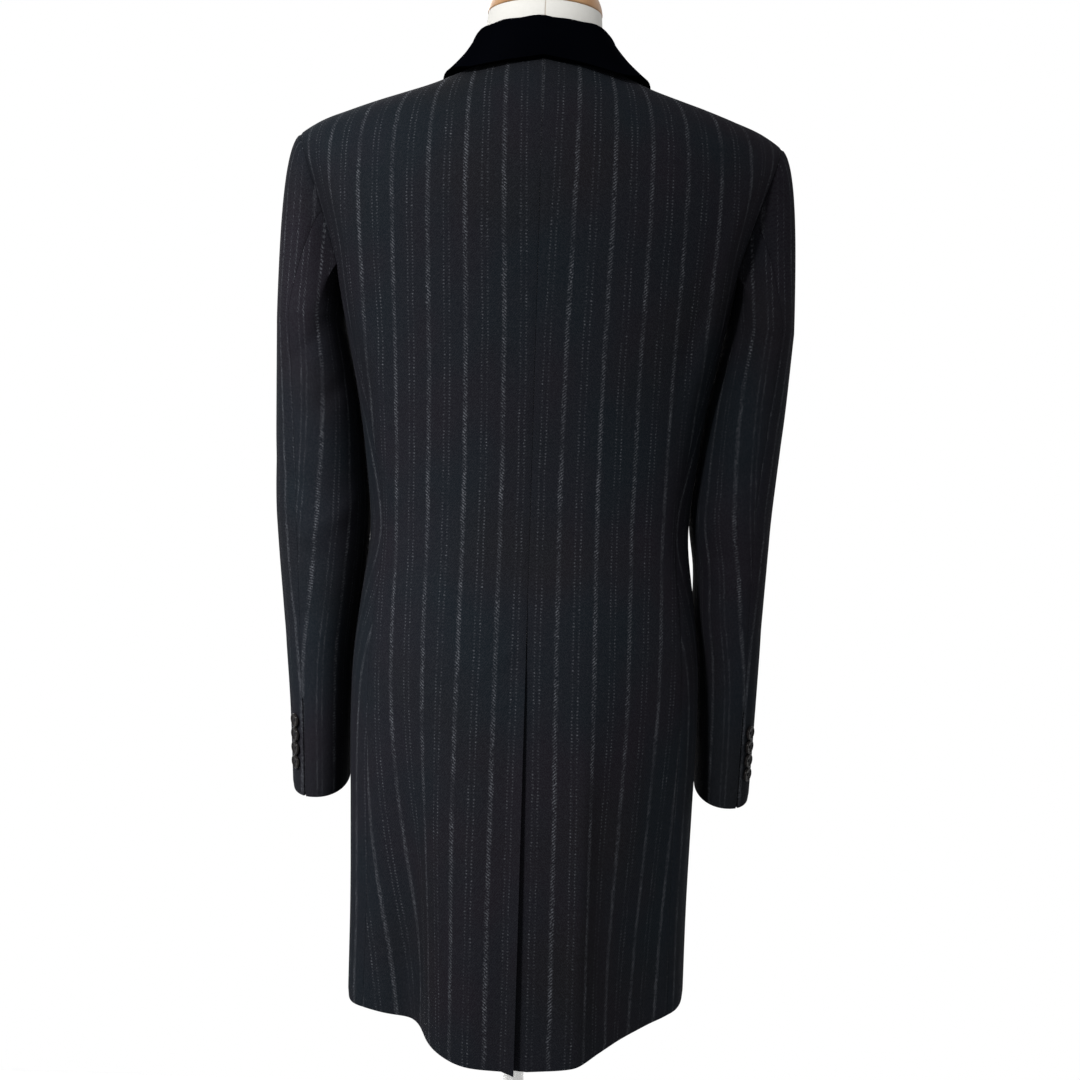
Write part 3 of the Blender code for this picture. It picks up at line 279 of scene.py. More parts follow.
DASH_PITCH = 0.0031           # of the breaks in the fine ones
LINEN_THREADS = 420.0
LINEN_PITCH = 0.0009
LINEN_SEAM = (0.0, 0.0003, 0.0005)
BUTTON_PROFILE = (
    (0.00, 0.00), (0.62, 0.00), (0.84, 0.06), (0.95, 0.22), (1.00, 0.48), (0.985, 0.72),
    (0.94, 0.90), (0.87, 0.99), (0.79, 0.98), (0.71, 0.88), (0.64, 0.76), (0.55, 0.70),
    (0.30, 0.68), (0.00, 0.68),
)
BUTTON_SIDES = 48
STITCH_STEPS = 8              # along a stitch over the button's middle
STITCH_SIDES = 6
STITCH_REACH = 0.22           # of the button's radius, along each axis out to a hole
STITCH_GAUGE = (0.055, 0.0001)          # half thickness: of the button's radius, and more
STITCH_ARCH = (0.0004, 0.0002)          # rise over the middle, sink at the holes
FLOOR_REACH = 0.85
CAMERA_PLACE = (0.0, 1.45, 1.06)
CAMERA_FOCUS = 1420.0         # pixels, for a picture 1080 pixels wide
CAMERA_PITCH = math.radians(3.7)
CAMERA_ROLL = math.radians(1.71)
CAMERA_YAW = -10.5 / 1420.0

# cloth that the centre-back seam takes away from the stripes, by height
SEAM_TAKE_ROWS = (
    (0.480, 0.0040),
    (0.700, 0.0050),
    (0.900, 0.0075),
    (1.000, 0.0080),
    (1.150, 0.0070),
    (1.300, 0.0030),
    (1.440, 0.0000),
)
# distance of the first stripe from the hind seam on the top and under sleeve, by height
SLEEVE_STRIPE_ROWS = (
    (0.700, 0.0020, 0.0000),
    (0.820, 0.0010, 0.0020),
    (0.960, 0.0140, 0.0180),
    (1.080, 0.0160, 0.0300),
    (1.250, 0.0200, 0.0340),
)
# creases: side, back or front, half-width share and height of both ends, half breadth, depth
CREASE_ROWS = (
    (+1, True, 0.93, 1.300, 0.80, 1.150, 0.0100, -0.0022),
    (+1, True, 0.80, 1.330, 0.74, 1.200, 0.0150, 0.0018),
    (-1, True, 0.93, 1.300, 0.79, 1.130, 0.0110, -0.0026),
    (-1, True, 0.79, 1.320, 0.73, 1.190, 0.0150, 0.0018),
    (+1, True, 0.10, 1.425, 0.45, 1.415, 0.0060, -0.0009),
    (-1, True, 0.08, 1.424, 0.40, 1.417, 0.0060, -0.0009),
    (+1, True, 0.30, 1.010, 0.75, 0.985, 0.0120, -0.0010),
    (-1, True, 0.25, 0.995, 0.80, 0.975, 0.0120, -0.0012),
    (+1, True, 0.20, 0.955, 0.55, 0.940, 0.0100, 0.0008),
    (-1, True, 0.35, 0.950, 0.70, 0.935, 0.0100, 0.0009),
    (+1, True, 0.04, 0.872, 0.26, 0.850, 0.0060, 0.0024),
    (+1, True, 0.42, 0.800, 0.50, 0.480, 0.0140, 0.0038),
    (+1, True, 0.60, 0.720, 0.57, 0.480, 0.0090, -0.0036),
    (+1, True, 0.80, 0.820, 0.86, 0.480, 0.0110, 0.0020),
    (-1, True, 0.33, 0.790, 0.34, 0.480, 0.0090, 0.0042),
    (-1, True, 0.44, 0.740, 0.46, 0.480, 0.0110, -0.0036),
    (-1, True, 0.60, 0.820, 0.66, 0.480, 0.0140, 0.0020),
    (-1, True, 0.84, 0.760, 0.80, 0.480, 0.0110, -0.0018),
    (+1, False, 0.80, 1.290, 0.68, 1.170, 0.0100, -0.0020),
    (-1, False, 0.80, 1.285, 0.69, 1.165, 0.0100, -0.0022),
    (+1, False, 0.35, 0.990, 0.80, 0.975, 0.0110, -0.0010),
    (-1, False, 0.40, 0.985, 0.80, 0.970, 0.0110, -0.0011),
    (+1, False, 0.45, 0.800, 0.50, 0.480, 0.0140, 0.0024),
    (-1, False, 0.60, 0.780, 0.62, 0.480, 0.0120, 0.0022),
    (-1, False, 0.35, 0.700, 0.33, 0.480, 0.0120, -0.0018),
)
# sleeve creases: side, angle round the sleeve, height, half angle, half height, tilt, depth
SLEEVE_CREASE_ROWS = (
    (+1, 95.0, 1.150, 36.0, 0.010, 0.0006, -0.0013),
    (+1, 120.0, 1.105, 34.0, 0.009, 0.0005, -0.0011),
    (+1, 70.0, 1.020, 40.0, 0.014, -0.0004, -0.0011),
    (+1, 110.0, 0.985, 46.0, 0.012, 0.0005, 0.0013),
    (+1, 90.0, 0.950, 44.0, 0.011, -0.0003, -0.0012),
    (+1, 60.0, 0.880, 34.0, 0.012, 0.0003, -0.0008),
    (+1, 300.0, 1.010, 50.0, 0.012, 0.0005, -0.0013),
    (+1, 280.0, 0.965, 44.0, 0.010, -0.0004, -0.0011),
    (-1, 100.0, 1.160, 34.0, 0.010, -0.0006, -0.0013),
    (-1, 76.0, 1.100, 32.0, 0.010, 0.0005, -0.0010),
    (-1, 105.0, 1.030, 46.0, 0.012, -0.0005, -0.0013),
    (-1, 80.0, 0.990, 40.0, 0.011, 0.0004, 0.0012),
    (-1, 100.0, 0.955, 44.0, 0.011, 0.0003, -0.0013),
    (-1, 64.0, 0.870, 36.0, 0.012, -0.0003, -0.0008),
    (-1, 300.0, 1.000, 50.0, 0.012, -0.0005, -0.0013),
    (-1, 276.0, 0.955, 42.0, 0.010, 0.0004, -0.0011),
)


# ---------------------------------------------------------------- curves through tables
def unit(vector):
    return vector / np.linalg.norm(vector)


def between(start, end, leave, arrive, t):
    """A smooth way from start to end that leaves and arrives with the given slopes."""
    rest = 1 - t
    return (start * (1 + 2 * t) * rest ** 2 + end * t * t * (3 - 2 * t)
            + leave * t * rest ** 2 - arrive * t * t * rest)


def smooth_column(rows, column):
    """A smooth curve of one column against the table's first one."""
    rows = sorted(rows)
    at = np.array([row[0] for row in rows], float)
    value = np.array([row[column] for row in rows], float)
    slope = np.gradient(value, at)

    def curve(place):
        place = min(max(place, at[0]), at[-1])
        k = min(int(np.searchsorted(at, place, side="right")) - 1, len(at) - 2)
        span = at[k + 1] - at[k]
        return between(value[k], value[k + 1], span * slope[k], span * slope[k + 1],
                       (place - at[k]) / span)

    return curve


def smooth_columns(rows):
    return [smooth_column(rows, k) for k in range(1, len(rows[0]))]


def ease(value, start, end):
    """0 at start, 1 at end, smooth between."""
    t = min(max((value - start) / (end - start), 0.0), 1.0)
    return t * t * (3 - 2 * t)


def refined(values, steps):
    """The values with more of them, evenly, in each interval."""
    fine = []
    for a, b in zip(values, values[1:]):
        fine += [a + (b - a) * k / steps for k in range(steps)]
    return fine + [values[-1]]


half_width, back_depth, front_depth, back_power, front_power = smooth_columns(BODY_ROWS)
side_seam_ratio, fore_edge_ratio = smooth_columns(EDGE_ROWS)
ridge_height, ridge_depth = smooth_columns(RIDGE_ROWS)
form_ease = smooth_column(FORM_EASE_ROWS, 1)
seam_take = smooth_column(SEAM_TAKE_ROWS, 1)


# ---------------------------------------------------------------- the body's surface
def fold_move(rows, side, ratio, height):
    """How far the cloth stands out of the plain section, from the table of folds."""
    move = 0.0
    for fold_side, centre, spread, level, up, down, depth in rows:
        if fold_side != side:
            continue
        reach = up if height > level else down
        across = (ratio - centre) / spread
        along = (height - level) / reach
        move += depth * math.exp(-across * across - along * along)
    return move


def crease_move(side, back, ratio, height):
    """How far the smaller creases lift the cloth: soft strokes that fade at both ends."""
    move = 0.0
    for crease_side, on_back, r0, z0, r1, z1, breadth, depth in CREASE_ROWS:
        if crease_side != side or on_back != back:
            continue
        along = np.array([(r1 - r0) * CREASE_GIRTH, z1 - z0])
        length = np.linalg.norm(along)
        place = np.array([(ratio - r0) * CREASE_GIRTH, height - z0])
        t = place.dot(along) / (length * length)
        if not FADE[0] < t < FADE[3]:
            continue
        across = (along[0] * place[1] - along[1] * place[0]) / length / breadth
        if abs(across) > CREASE_REACH:
            continue
        fade = ease(t, *FADE[:2]) * (1 - ease(t, *FADE[2:]))
        move += depth * fade * math.exp(-across * across)
    return move


def round_reach(x, back):
    """Height over which the back or front rounds into the shoulder ridge."""
    centre, tip = BACK_ROUND if back else FRONT_ROUND
    return centre + (tip - centre) * min(abs(x) / SHOULDER_HALF, 1.0)


def rounding(x, height, back):
    """0 on the shoulder ridge, 1 where the panel hangs free below it."""
    t = min(max((ridge_height(abs(x)) - height) / round_reach(x, back), 0.0), 1.0)
    return math.sqrt(max(1 - (1 - t) ** 2, 0.0))


def section_depth(ratio, height, back):
    """Depth of the plain horizontal section at a share of its half width."""
    power = back_power(height) if back else front_power(height)
    section = (1 - min(abs(ratio), 1.0) ** power) ** (1 / power)
    return section * (back_depth(height) if back else -front_depth(height))


def body_point(side, ratio, height, back, folds=True):
    """A point of the coat's outside, ratio being its share of the half width from the centre."""
    x = half_width(height) * ratio
    depth = section_depth(ratio, height, back)
    if folds:
        table = FOLD_ROWS if back else FRONT_FOLD_ROWS
        share = min(abs(ratio), 1.0)
        out = fold_move(table, side, abs(ratio), height)
        out += crease_move(side, back, abs(ratio), height) * ease(abs(ratio), 0.0, CREASE_START)
        x += out * share ** 3
        depth += (out if back else -out) * (1 - share ** 8)
    ridge_y = ridge_depth(abs(x))
    y = ridge_y + (depth - ridge_y) * rounding(x, height, back)
    return np.array([side * x, y, height])


def roof_height(x, y):
    """Height of the coat above a plan point near the neck."""
    x = abs(x)
    height = ridge_height(x) - 0.02
    ridge_y = ridge_depth(x)
    back = y > ridge_y
    for _ in range(12):
        depth = section_depth(x / half_width(height), height, back)
        share = min(max((y - ridge_y) / (depth - ridge_y), 0.0), 0.999)
        height = ridge_height(x) - round_reach(x, back) * (1 - math.sqrt(1 - share * share))
    return height


def angle_of(ratio):
    """Angle round the section, 0 at the side, of a share of the half width."""
    return math.acos(min(max(ratio, 0.0), 1.0))


def roll_line_height(x):
    """Height of the lapel's roll line, from the break at the front edge to the neck point."""
    share = (x + FRONT_OVERLAP) / (NECK_HALF_WIDTH + FRONT_OVERLAP)
    top = ridge_height(NECK_HALF_WIDTH)
    return BREAK_Z + (top - BREAK_Z) * min(max(share, 0.0), 1.0) ** ROLL_LINE_POWER


class Skin:
    """Points, their outward normals, and faces with the name of the piece they are cut into."""

    def __init__(self):
        self.points = []
        self.faces = []
        self.labels = []
        self.fixed = {}
        self.normals = None
        self.weave = {}

    def add(self, point):
        self.points.append(np.asarray(point, float))
        return len(self.points) - 1

    def face(self, corners, label):
        self.faces.append(tuple(corners))
        self.labels.append(label)

    def strip(self, low, up, label, flip=False):
        """Faces between two rows of points."""
        for a, b, c, d in zip(low, up, up[1:], low[1:]):
            self.face((d, c, b, a) if flip else (a, b, c, d), label)

    def finish_normals(self):
        points = np.array(self.points)
        corners = np.array(self.faces)
        facing = np.cross(points[corners[:, 2]] - points[corners[:, 0]],
                          points[corners[:, 3]] - points[corners[:, 1]])
        normals = np.zeros_like(points)
        for k in range(4):
            np.add.at(normals, corners[:, k], facing)
        lengths = np.linalg.norm(normals, axis=1)
        self.normals = normals / np.maximum(lengths, 1e-12)[:, None]
        self.points = points


def front_ratio(weight, height):
    """Ratio of a front column, 0 at the armhole's front line and 1 at the front edge."""
    fore = fore_edge_ratio(height)
    edge = -FRONT_OVERLAP / half_width(height)
    return fore + (edge - fore) * weight


def rows_up(ratio_at, top_at, hem=HEM_Z):
    """Heights up a column to where it meets a boundary: even rows, then rows that crowd."""
    top = ridge_height(0.1)
    for _ in range(40):
        top += 0.5 * (top_at(ratio_at(top) * half_width(top)) - top)
    middle = min(ARMPIT_Z, top - TURN_ROOM)
    lower = [hem + (middle - hem) * k / LOWER_ROWS for k in range(LOWER_ROWS + 1)]
    turn = [0.5 * math.pi * k / UPPER_ROWS for k in range(1, UPPER_ROWS + 1)]
    return lower + [middle + (top - middle) * math.sin(angle) for angle in turn]


def neck_line(drop):
    """The shoulder ridge, let down at the neck by a drop at the centre."""
    return lambda x: ridge_height(x) - drop * max(1 - (x / NECK_HALF_WIDTH) ** 2, 0.0)


def lap_move(side, x):
    """How far each front moves out or in where the left one lies over the right one."""
    return side * 0.5 * (WALL + LAY_GAP) * (1 - ease(x, *LAP_FADE))


def back_shares():
    """The back panel's columns, 0 at the centre back and 1 at the side seam and armhole."""
    neck = NECK_HALF_WIDTH / (half_width(RIDGE_ROWS[0][1]) * TIP_RATIO)
    inner = [neck * k / BACK_NECK_COLUMNS for k in range(BACK_NECK_COLUMNS)]
    return inner + refined((neck,) + SHOULDER_SHARES, SHOULDER_STEPS)


def front_weights():
    """The front panel's columns: those under the shoulder, then those under the roll line."""
    edge = -FRONT_OVERLAP / half_width(RIDGE_ROWS[0][1])
    shoulder = reversed(back_shares()[BACK_NECK_COLUMNS:])
    weights = [TIP_RATIO * (1 - share) / (TIP_RATIO - edge) for share in shoulder]
    for x in refined((NECK_HALF_WIDTH,) + ROLL_LINE_X, NECK_STEPS)[1:]:
        top = roll_line_height(x)
        fore = fore_edge_ratio(top)
        edge = -FRONT_OVERLAP / half_width(top)
        weights.append((fore - x / half_width(top)) / (fore - edge))
    return weights


def back_column(side, share, hem, folds=True, neck_drop=BACK_NECK_DROP):
    """Points of one back column, from the hem to the shoulder seam or the neckline."""
    def ratio_at(height):
        return share * side_seam_ratio(height)

    heights = rows_up(ratio_at, neck_line(neck_drop), hem)
    return [body_point(side, ratio_at(z), z, True, folds) for z in heights]


def side_column(side, weight, hem, folds=True):
    """Points of one column under the arm, between the side seam and the armhole's front line."""
    top = ARMPIT_Z - UNDERARM_DIP * math.sin(math.pi * weight)
    points = []
    for j in range(LOWER_ROWS + 1):
        height = hem + (top - hem) * j / LOWER_ROWS
        start = angle_of(side_seam_ratio(height))
        end = -angle_of(fore_edge_ratio(height))
        angle = start + (end - start) * weight
        points.append(body_point(side, math.cos(angle), height, angle > 0, folds))
    return points


def front_column(side, weight, top_at):
    """Points of one front column, from the hem to the shoulder seam or the roll line."""
    points = []
    for height in rows_up(lambda z: front_ratio(weight, z), top_at):
        point = body_point(side, front_ratio(weight, height), height, False)
        point[1] -= lap_move(side, side * point[0])
        points.append(point)
    return points


def form_front_column(side, weight, share):
    """Points of one column of the form's front, share 0 at the centre and 1 from the neck out."""
    def ratio_at(height):
        return front_ratio(weight, height) * share

    heights = rows_up(ratio_at, neck_line(FORM_FRONT_DROP), FORM_BOTTOM_Z)
    return [body_point(side, ratio_at(z), z, False, False) for z in heights]


def join_columns(skin, side, columns, back_edge, centre=None):
    """Adds the columns' points and faces; gives their numbers and the armhole's loop.

    Each front column ends in the top of its back column. A second half takes over the first
    one's columns at the centre of the back and of the front.
    """
    front_start = back_edge + SIDE_CELLS
    columns = [[skin.add(point) for point in column] for column in columns]
    for k in range(SHOULDER_COLUMNS + 1):
        columns[front_start + k][-1] = columns[back_edge - k][-1]
    if centre:
        columns[0], columns[-1] = centre
    for i, (left, right) in enumerate(zip(columns, columns[1:])):
        skin.strip(left, right, "back" if i < back_edge else "front", side > 0)
    hole = columns[back_edge][LOWER_ROWS:] + columns[front_start][LOWER_ROWS:-1][::-1]
    hole += [columns[back_edge + k][-1] for k in range(SIDE_CELLS - 1, 0, -1)]
    return columns, hole


def add_vent_underlap(skin, column):
    """The right back runs on under the left one below the top of the vent."""
    previous = column[:VENT_TOP_ROW + 1]
    for n in range(1, UNDERLAP_CELLS + 1):
        step = n / UNDERLAP_CELLS
        row = []
        for j in range(VENT_TOP_ROW + 1):
            point = skin.points[column[j]].copy()
            point[0] = VENT_UNDERLAP * step * (1 - UNDERLAP_TAPER * j / VENT_TOP_ROW)
            point[1] -= UNDERLAP_SINK * step
            row.append(skin.add(point))
        skin.strip(row, previous, "back")
        previous = row


def open_vent(side, columns):
    """Below the vent's top the left back stands off and the right one tucks in under it."""
    for c in range(VENT_COLUMNS):
        share = 1 - c / VENT_COLUMNS
        for j in range(VENT_TOP_ROW + VENT_FADE_ROWS):
            if side < 0:
                tuck = 1 - max(j - VENT_TOP_ROW, 0) / VENT_FADE_ROWS
                columns[c][j][1] -= (WALL + LAY_GAP) * tuck * share
            elif j < VENT_TOP_ROW:
                columns[c][j][1] += VENT_FLARE * math.sqrt(1 - j / VENT_TOP_ROW) * share


def lay_stripes(skin, columns, take):
    """Cloth coordinates: distance round the body at each height, and height."""
    heights = np.arange(*STRIPE_LEVELS)
    spots = []
    for column in columns:
        points = np.array([skin.points[k] for k in column])
        order = np.argsort(points[:, 2])
        points = points[order]
        spots.append(np.stack([np.interp(heights, points[:, 2], points[:, axis])
                               for axis in (0, 1)]))
    spots = np.array(spots)
    steps = np.sqrt(((spots[1:] - spots[:-1]) ** 2).sum(axis=1))
    around = np.concatenate([np.zeros((1, len(heights))), np.cumsum(steps, axis=0)])
    for number, column in enumerate(columns):
        for k in column:
            height = skin.points[k][2]
            skin.weave[k] = (np.interp(height, heights, around[number]) + take(height), height)


def body_skin(side):
    """Half of the coat's body, from the centre back round the side to the front edge."""
    skin = Skin()
    shares = back_shares()
    columns = [back_column(side, share, HEM_Z - HEM_DIP * (1 - share ** 2)) for share in shares]
    open_vent(side, columns)
    columns += [side_column(side, k / SIDE_CELLS, HEM_Z) for k in range(1, SIDE_CELLS)]
    for k, weight in enumerate(front_weights()):
        top_at = ridge_height if k <= SHOULDER_COLUMNS else roll_line_height
        columns.append(front_column(side, weight, top_at))
    back_edge = len(shares) - 1
    columns, skin.armhole = join_columns(skin, side, columns, back_edge)
    if side < 0:
        add_vent_underlap(skin, columns[0])
    skin.finish_normals()
    for k in columns[0]:
        skin.normals[k][0] = 0.0
        skin.normals[k] = unit(skin.normals[k])
    lay_stripes(skin, columns[back_edge:][::-1], lambda height: 0.5 * STRIPE_PITCH)
    skin.front_weave = dict(skin.weave)
    lay_stripes(skin, columns[:back_edge + 1], seam_take)
    skin.roll_line = [column[-1] for column in columns[back_edge + SIDE_CELLS + SHOULDER_COLUMNS:]]
    skin.back_neck = [column[-1] for column in columns[:BACK_NECK_COLUMNS + 1]]
    return skin


# ---------------------------------------------------------------- sleeves
def sleeve_oval(side):
    """Point of a sleeve's oval as a function of height and angle."""
    columns = (1, 2, 5, 6) if side > 0 else (3, 4, 5, 6)
    inner_at, outer_at, back_at, front_at = (smooth_column(SLEEVE_ROWS, k) for k in columns)
    power = 2 / SLEEVE_POWER

    def ring(height, angle):
        inner, outer = inner_at(height), outer_at(height)
        back, front = back_at(height), front_at(height)
        c, s = math.cos(math.radians(angle)), math.sin(math.radians(angle))
        cx, sy = math.copysign(abs(c) ** power, c), math.copysign(abs(s) ** power, s)
        scale = 1 + sleeve_crease(side, height, angle) / SLEEVE_GIRTH
        x = (inner + outer) / 2 + (outer - inner) / 2 * cx * scale
        y = (back + front) / 2 + (back - front) / 2 * sy * scale
        return np.array([x, y, height])

    return ring


def sleeve_crease(side, height, angle):
    move = 0.0
    for crease_side, middle, level, breadth, reach, tilt, depth in SLEEVE_CREASE_ROWS:
        if crease_side != side:
            continue
        away = (angle - middle + 180) % 360 - 180
        if abs(away) > SLEEVE_CREASE_REACH * breadth:
            continue
        rise = (height - level - tilt * away) / reach
        if abs(rise) < CREASE_REACH:
            move += depth * math.exp(-(away / breadth) ** 2 - rise * rise)
    return move


def armhole_angles(points):
    """The oval angle of each armhole point: back edge up, front edge down, then the underarm."""
    tip, low = UPPER_ROWS, 2 * UPPER_ROWS
    fore = low - SEAM_STEP
    angles = [0.0] * len(points)
    for first, last, start, end in (
        (low, len(points), FRONT_LOW_ANGLE, BACK_LOW_ANGLE),
        (0, SEAM_STEP, BACK_LOW_ANGLE, HIND_ANGLE),
        (tip, fore, 360.0, FORE_ANGLE),
        (fore, low, FORE_ANGLE, FRONT_LOW_ANGLE),
        (SEAM_STEP, tip, HIND_ANGLE, 0.0),
    ):
        indexes = [k % len(points) for k in range(first, last + 1)]
        lengths = [0.0]
        for a, b in zip(indexes, indexes[1:]):
            lengths.append(lengths[-1] + np.linalg.norm(points[b] - points[a]))
        for k, length in zip(indexes, lengths):
            angles[k] = start + (end - start) * length / lengths[-1]
    return angles


def sleeve_skin(side, body):
    """A sleeve from its armhole to the cuff, sharing the armhole's points with the body."""
    sleeve_ring = sleeve_oval(side)
    skin = Skin()
    mirror = np.array([side, 1.0, 1.0])
    hole = [body.points[k] * mirror for k in body.armhole]
    count = len(hole)
    angles = armhole_angles(hole)
    top_z, cuff_z = SLEEVE_ROWS[0][0], SLEEVE_ROWS[-1][0]
    low = min(point[2] for point in hole)
    high = max(point[2] for point in hole)
    lean, more, straight = CAP_LEAVE
    rings = [[skin.add(point * mirror) for point in hole]]
    for k in range(1, CAP_ROWS + 1):
        t = k / CAP_ROWS
        ring = []
        for start, angle in zip(hole, angles):
            end = sleeve_ring(top_z, angle)
            way = end - start
            length = np.linalg.norm(way)
            lift = (start[2] - low) / (high - low)
            leave = np.array([lean + more * lift, 0.0, 0.0]) + straight * way / length
            leave *= CAP_FULLNESS * length / np.linalg.norm(leave)
            arrive = np.array([0.0, 0.0, -CAP_ARRIVE * length])
            ring.append(skin.add(between(start, end, leave, arrive, t) * mirror))
        rings.append(ring)
    for k in range(1, ARM_ROWS + 1):
        t = k / ARM_ROWS
        ring = []
        for angle in angles:
            dip = CUFF_DIP * t ** 3 * math.sin(math.radians(angle))
            point = sleeve_ring(top_z + (cuff_z - top_z) * t, angle)
            point[2] -= dip
            ring.append(skin.add(point * mirror))
        rings.append(ring)
    hind = SEAM_STEP
    fore = 2 * UPPER_ROWS - SEAM_STEP
    tucked, underlap = cuff_vent(skin, side, sleeve_ring, rings, angles[hind])
    for i in range(len(rings) - 1):
        for j in range(count):
            after = (j + 1) % count
            corners = [rings[i][j], rings[i][after], rings[i + 1][after], rings[i + 1][j]]
            label = "top" if hind <= j < fore else "under"
            if after == hind:
                corners[1] = tucked.get(corners[1], corners[1])
                corners[2] = tucked.get(corners[2], corners[2])
            skin.face(corners if side > 0 else corners[::-1], label)
        if rings[i][hind] in underlap:
            upper, lower = ([tucked[k], *underlap[k]] for k in (rings[i][hind], rings[i + 1][hind]))
            for corners in zip(upper, upper[1:], lower[1:], lower):
                skin.face(corners if side > 0 else corners[::-1], "under")
    skin.finish_normals()
    skin.rings = rings
    skin.columns = [[ring[j] for ring in rings] for j in range(count)]
    lay_sleeve_stripes(skin, rings, hind, tucked, underlap)
    return skin


def cap_runs(cap, ring, runs):
    """Girths of a cap ring: on its hind half the stripes stand straight above the full ring's."""
    middle = ring[:, 1].mean()
    hinder = np.flatnonzero(ring[:, 1] > middle)
    order = hinder[np.argsort(np.abs(ring[hinder, 0]))]
    whole = runs.max()
    signed = np.where(runs < whole / 2, runs, runs - whole)
    straight = np.interp(np.abs(cap[:, 0]), np.abs(ring[order, 0]), signed[order])
    share = np.clip((cap[:, 1] - middle) / CAP_STRIPE_REACH, 0.0, 1.0)
    return runs + (straight - signed) * share * share * (3 - 2 * share)


def lay_sleeve_stripes(skin, rings, hind, tucked, underlap):
    """Cloth coordinates of the two sleeve pieces, both measured from the hind seam."""
    top_start, under_start = smooth_columns(SLEEVE_STRIPE_ROWS)
    count = len(rings[0])
    skin.under_weave = {}
    points = np.array([[skin.points[k] for k in ring] for ring in rings])
    # creases don't bend the stripes: the girths are evened out over the neighbouring rings
    girths = np.linalg.norm(np.roll(points, -1, axis=1) - points, axis=2)
    even = girths.copy()
    for i in range(CAP_ROWS, len(rings)):
        first = max(CAP_ROWS, i - STRIPE_EVEN_RINGS)
        even[i] = girths[first:i + STRIPE_EVEN_RINGS + 1].mean(axis=0)
    down = np.zeros(count)
    for i, ring in enumerate(rings):
        full = max(i, CAP_ROWS)
        level = float(points[full, :, 2].mean())
        if i:
            down += np.linalg.norm(points[i] - points[i - 1], axis=1)
        ahead = np.roll(even[full], -hind)
        onward = np.roll(np.concatenate(([0.0], np.cumsum(ahead[:-1]))), hind)
        backward = np.roll(np.concatenate(([0.0], np.cumsum(ahead[:0:-1])[::-1])), hind)
        if i < CAP_ROWS:
            onward = cap_runs(points[i], points[CAP_ROWS], onward)
            backward = cap_runs(points[i], points[CAP_ROWS], backward)
        onward, backward = onward - top_start(level), backward - under_start(level)
        for j in range(count):
            skin.weave[ring[j]] = (onward[j], SLEEVE_CLOTH_TOP - down[j])
            skin.under_weave[ring[j]] = (backward[j], SLEEVE_CLOTH_TOP - down[j])
        edge = ring[hind]
        if edge in tucked:
            u, v = skin.under_weave[tucked[edge]] = skin.under_weave[edge]
            for n, k in enumerate(underlap[edge]):
                skin.under_weave[k] = (u - CUFF_UNDERLAP * (n + 1) / CUFF_LAP_CELLS, v)


def cuff_vent(skin, side, sleeve_ring, rings, hind_angle):
    """The under sleeve's hind edge tucked in below the vent's top, and its underlap's points."""
    def facing_at(height, angle):
        ahead = (sleeve_ring(height, angle + FACING_STEP)
                 - sleeve_ring(height, angle - FACING_STEP))
        return unit(np.array([ahead[1], -ahead[0], 0.0])) * mirror

    mirror = np.array([side, 1.0, 1.0])
    tucked, underlap = {}, {}
    for ring in rings[-CUFF_VENT_ROWS - 1:]:
        edge = ring[SEAM_STEP]
        place = skin.points[edge]
        height = place[2]
        first = hind_angle + CUFF_TUCK_ANGLE
        lap = sleeve_ring(height, first) * mirror
        tucked[edge] = skin.add(lap - facing_at(height, hind_angle) * (WALL + LAY_GAP))
        last = hind_angle
        while np.linalg.norm(lap - place) < CUFF_UNDERLAP:
            last -= 1.0
            lap = sleeve_ring(height, last) * mirror
        underlap[edge] = []
        for k in range(1, CUFF_LAP_CELLS + 1):
            angle = first + (last - first) * k / CUFF_LAP_CELLS
            depth = WALL + LAY_GAP * (1 + k / CUFF_LAP_CELLS)
            point = sleeve_ring(height, angle) * mirror - facing_at(height, angle) * depth
            underlap[edge].append(skin.add(point))
    return tucked, underlap


def share_armhole(body, sleeve):
    """Mitres both walls along the armhole and parts them by the seam's gap."""
    hole, ring = body.armhole, sleeve.rings[0]
    count = len(hole)
    for j in range(count):
        point = body.points[hole[j]]
        along = unit(body.points[hole[(j + 1) % count]] - body.points[hole[j - 1]])
        inward = np.array([0.0, 0.0, MITRE_LIFT]) - body.normals[hole[j]] - sleeve.normals[ring[j]]
        inward = unit(inward - along * inward.dot(along))
        apart = np.cross(inward, along)
        down_sleeve = sleeve.points[sleeve.rings[1][j]] - point
        if apart.dot(down_sleeve) < 0:
            apart = -apart
        half = 0.5 * SEAM_GAP * apart
        body.fixed[hole[j]] = (-half, inward, along)
        sleeve.fixed[ring[j]] = (half, inward, along)


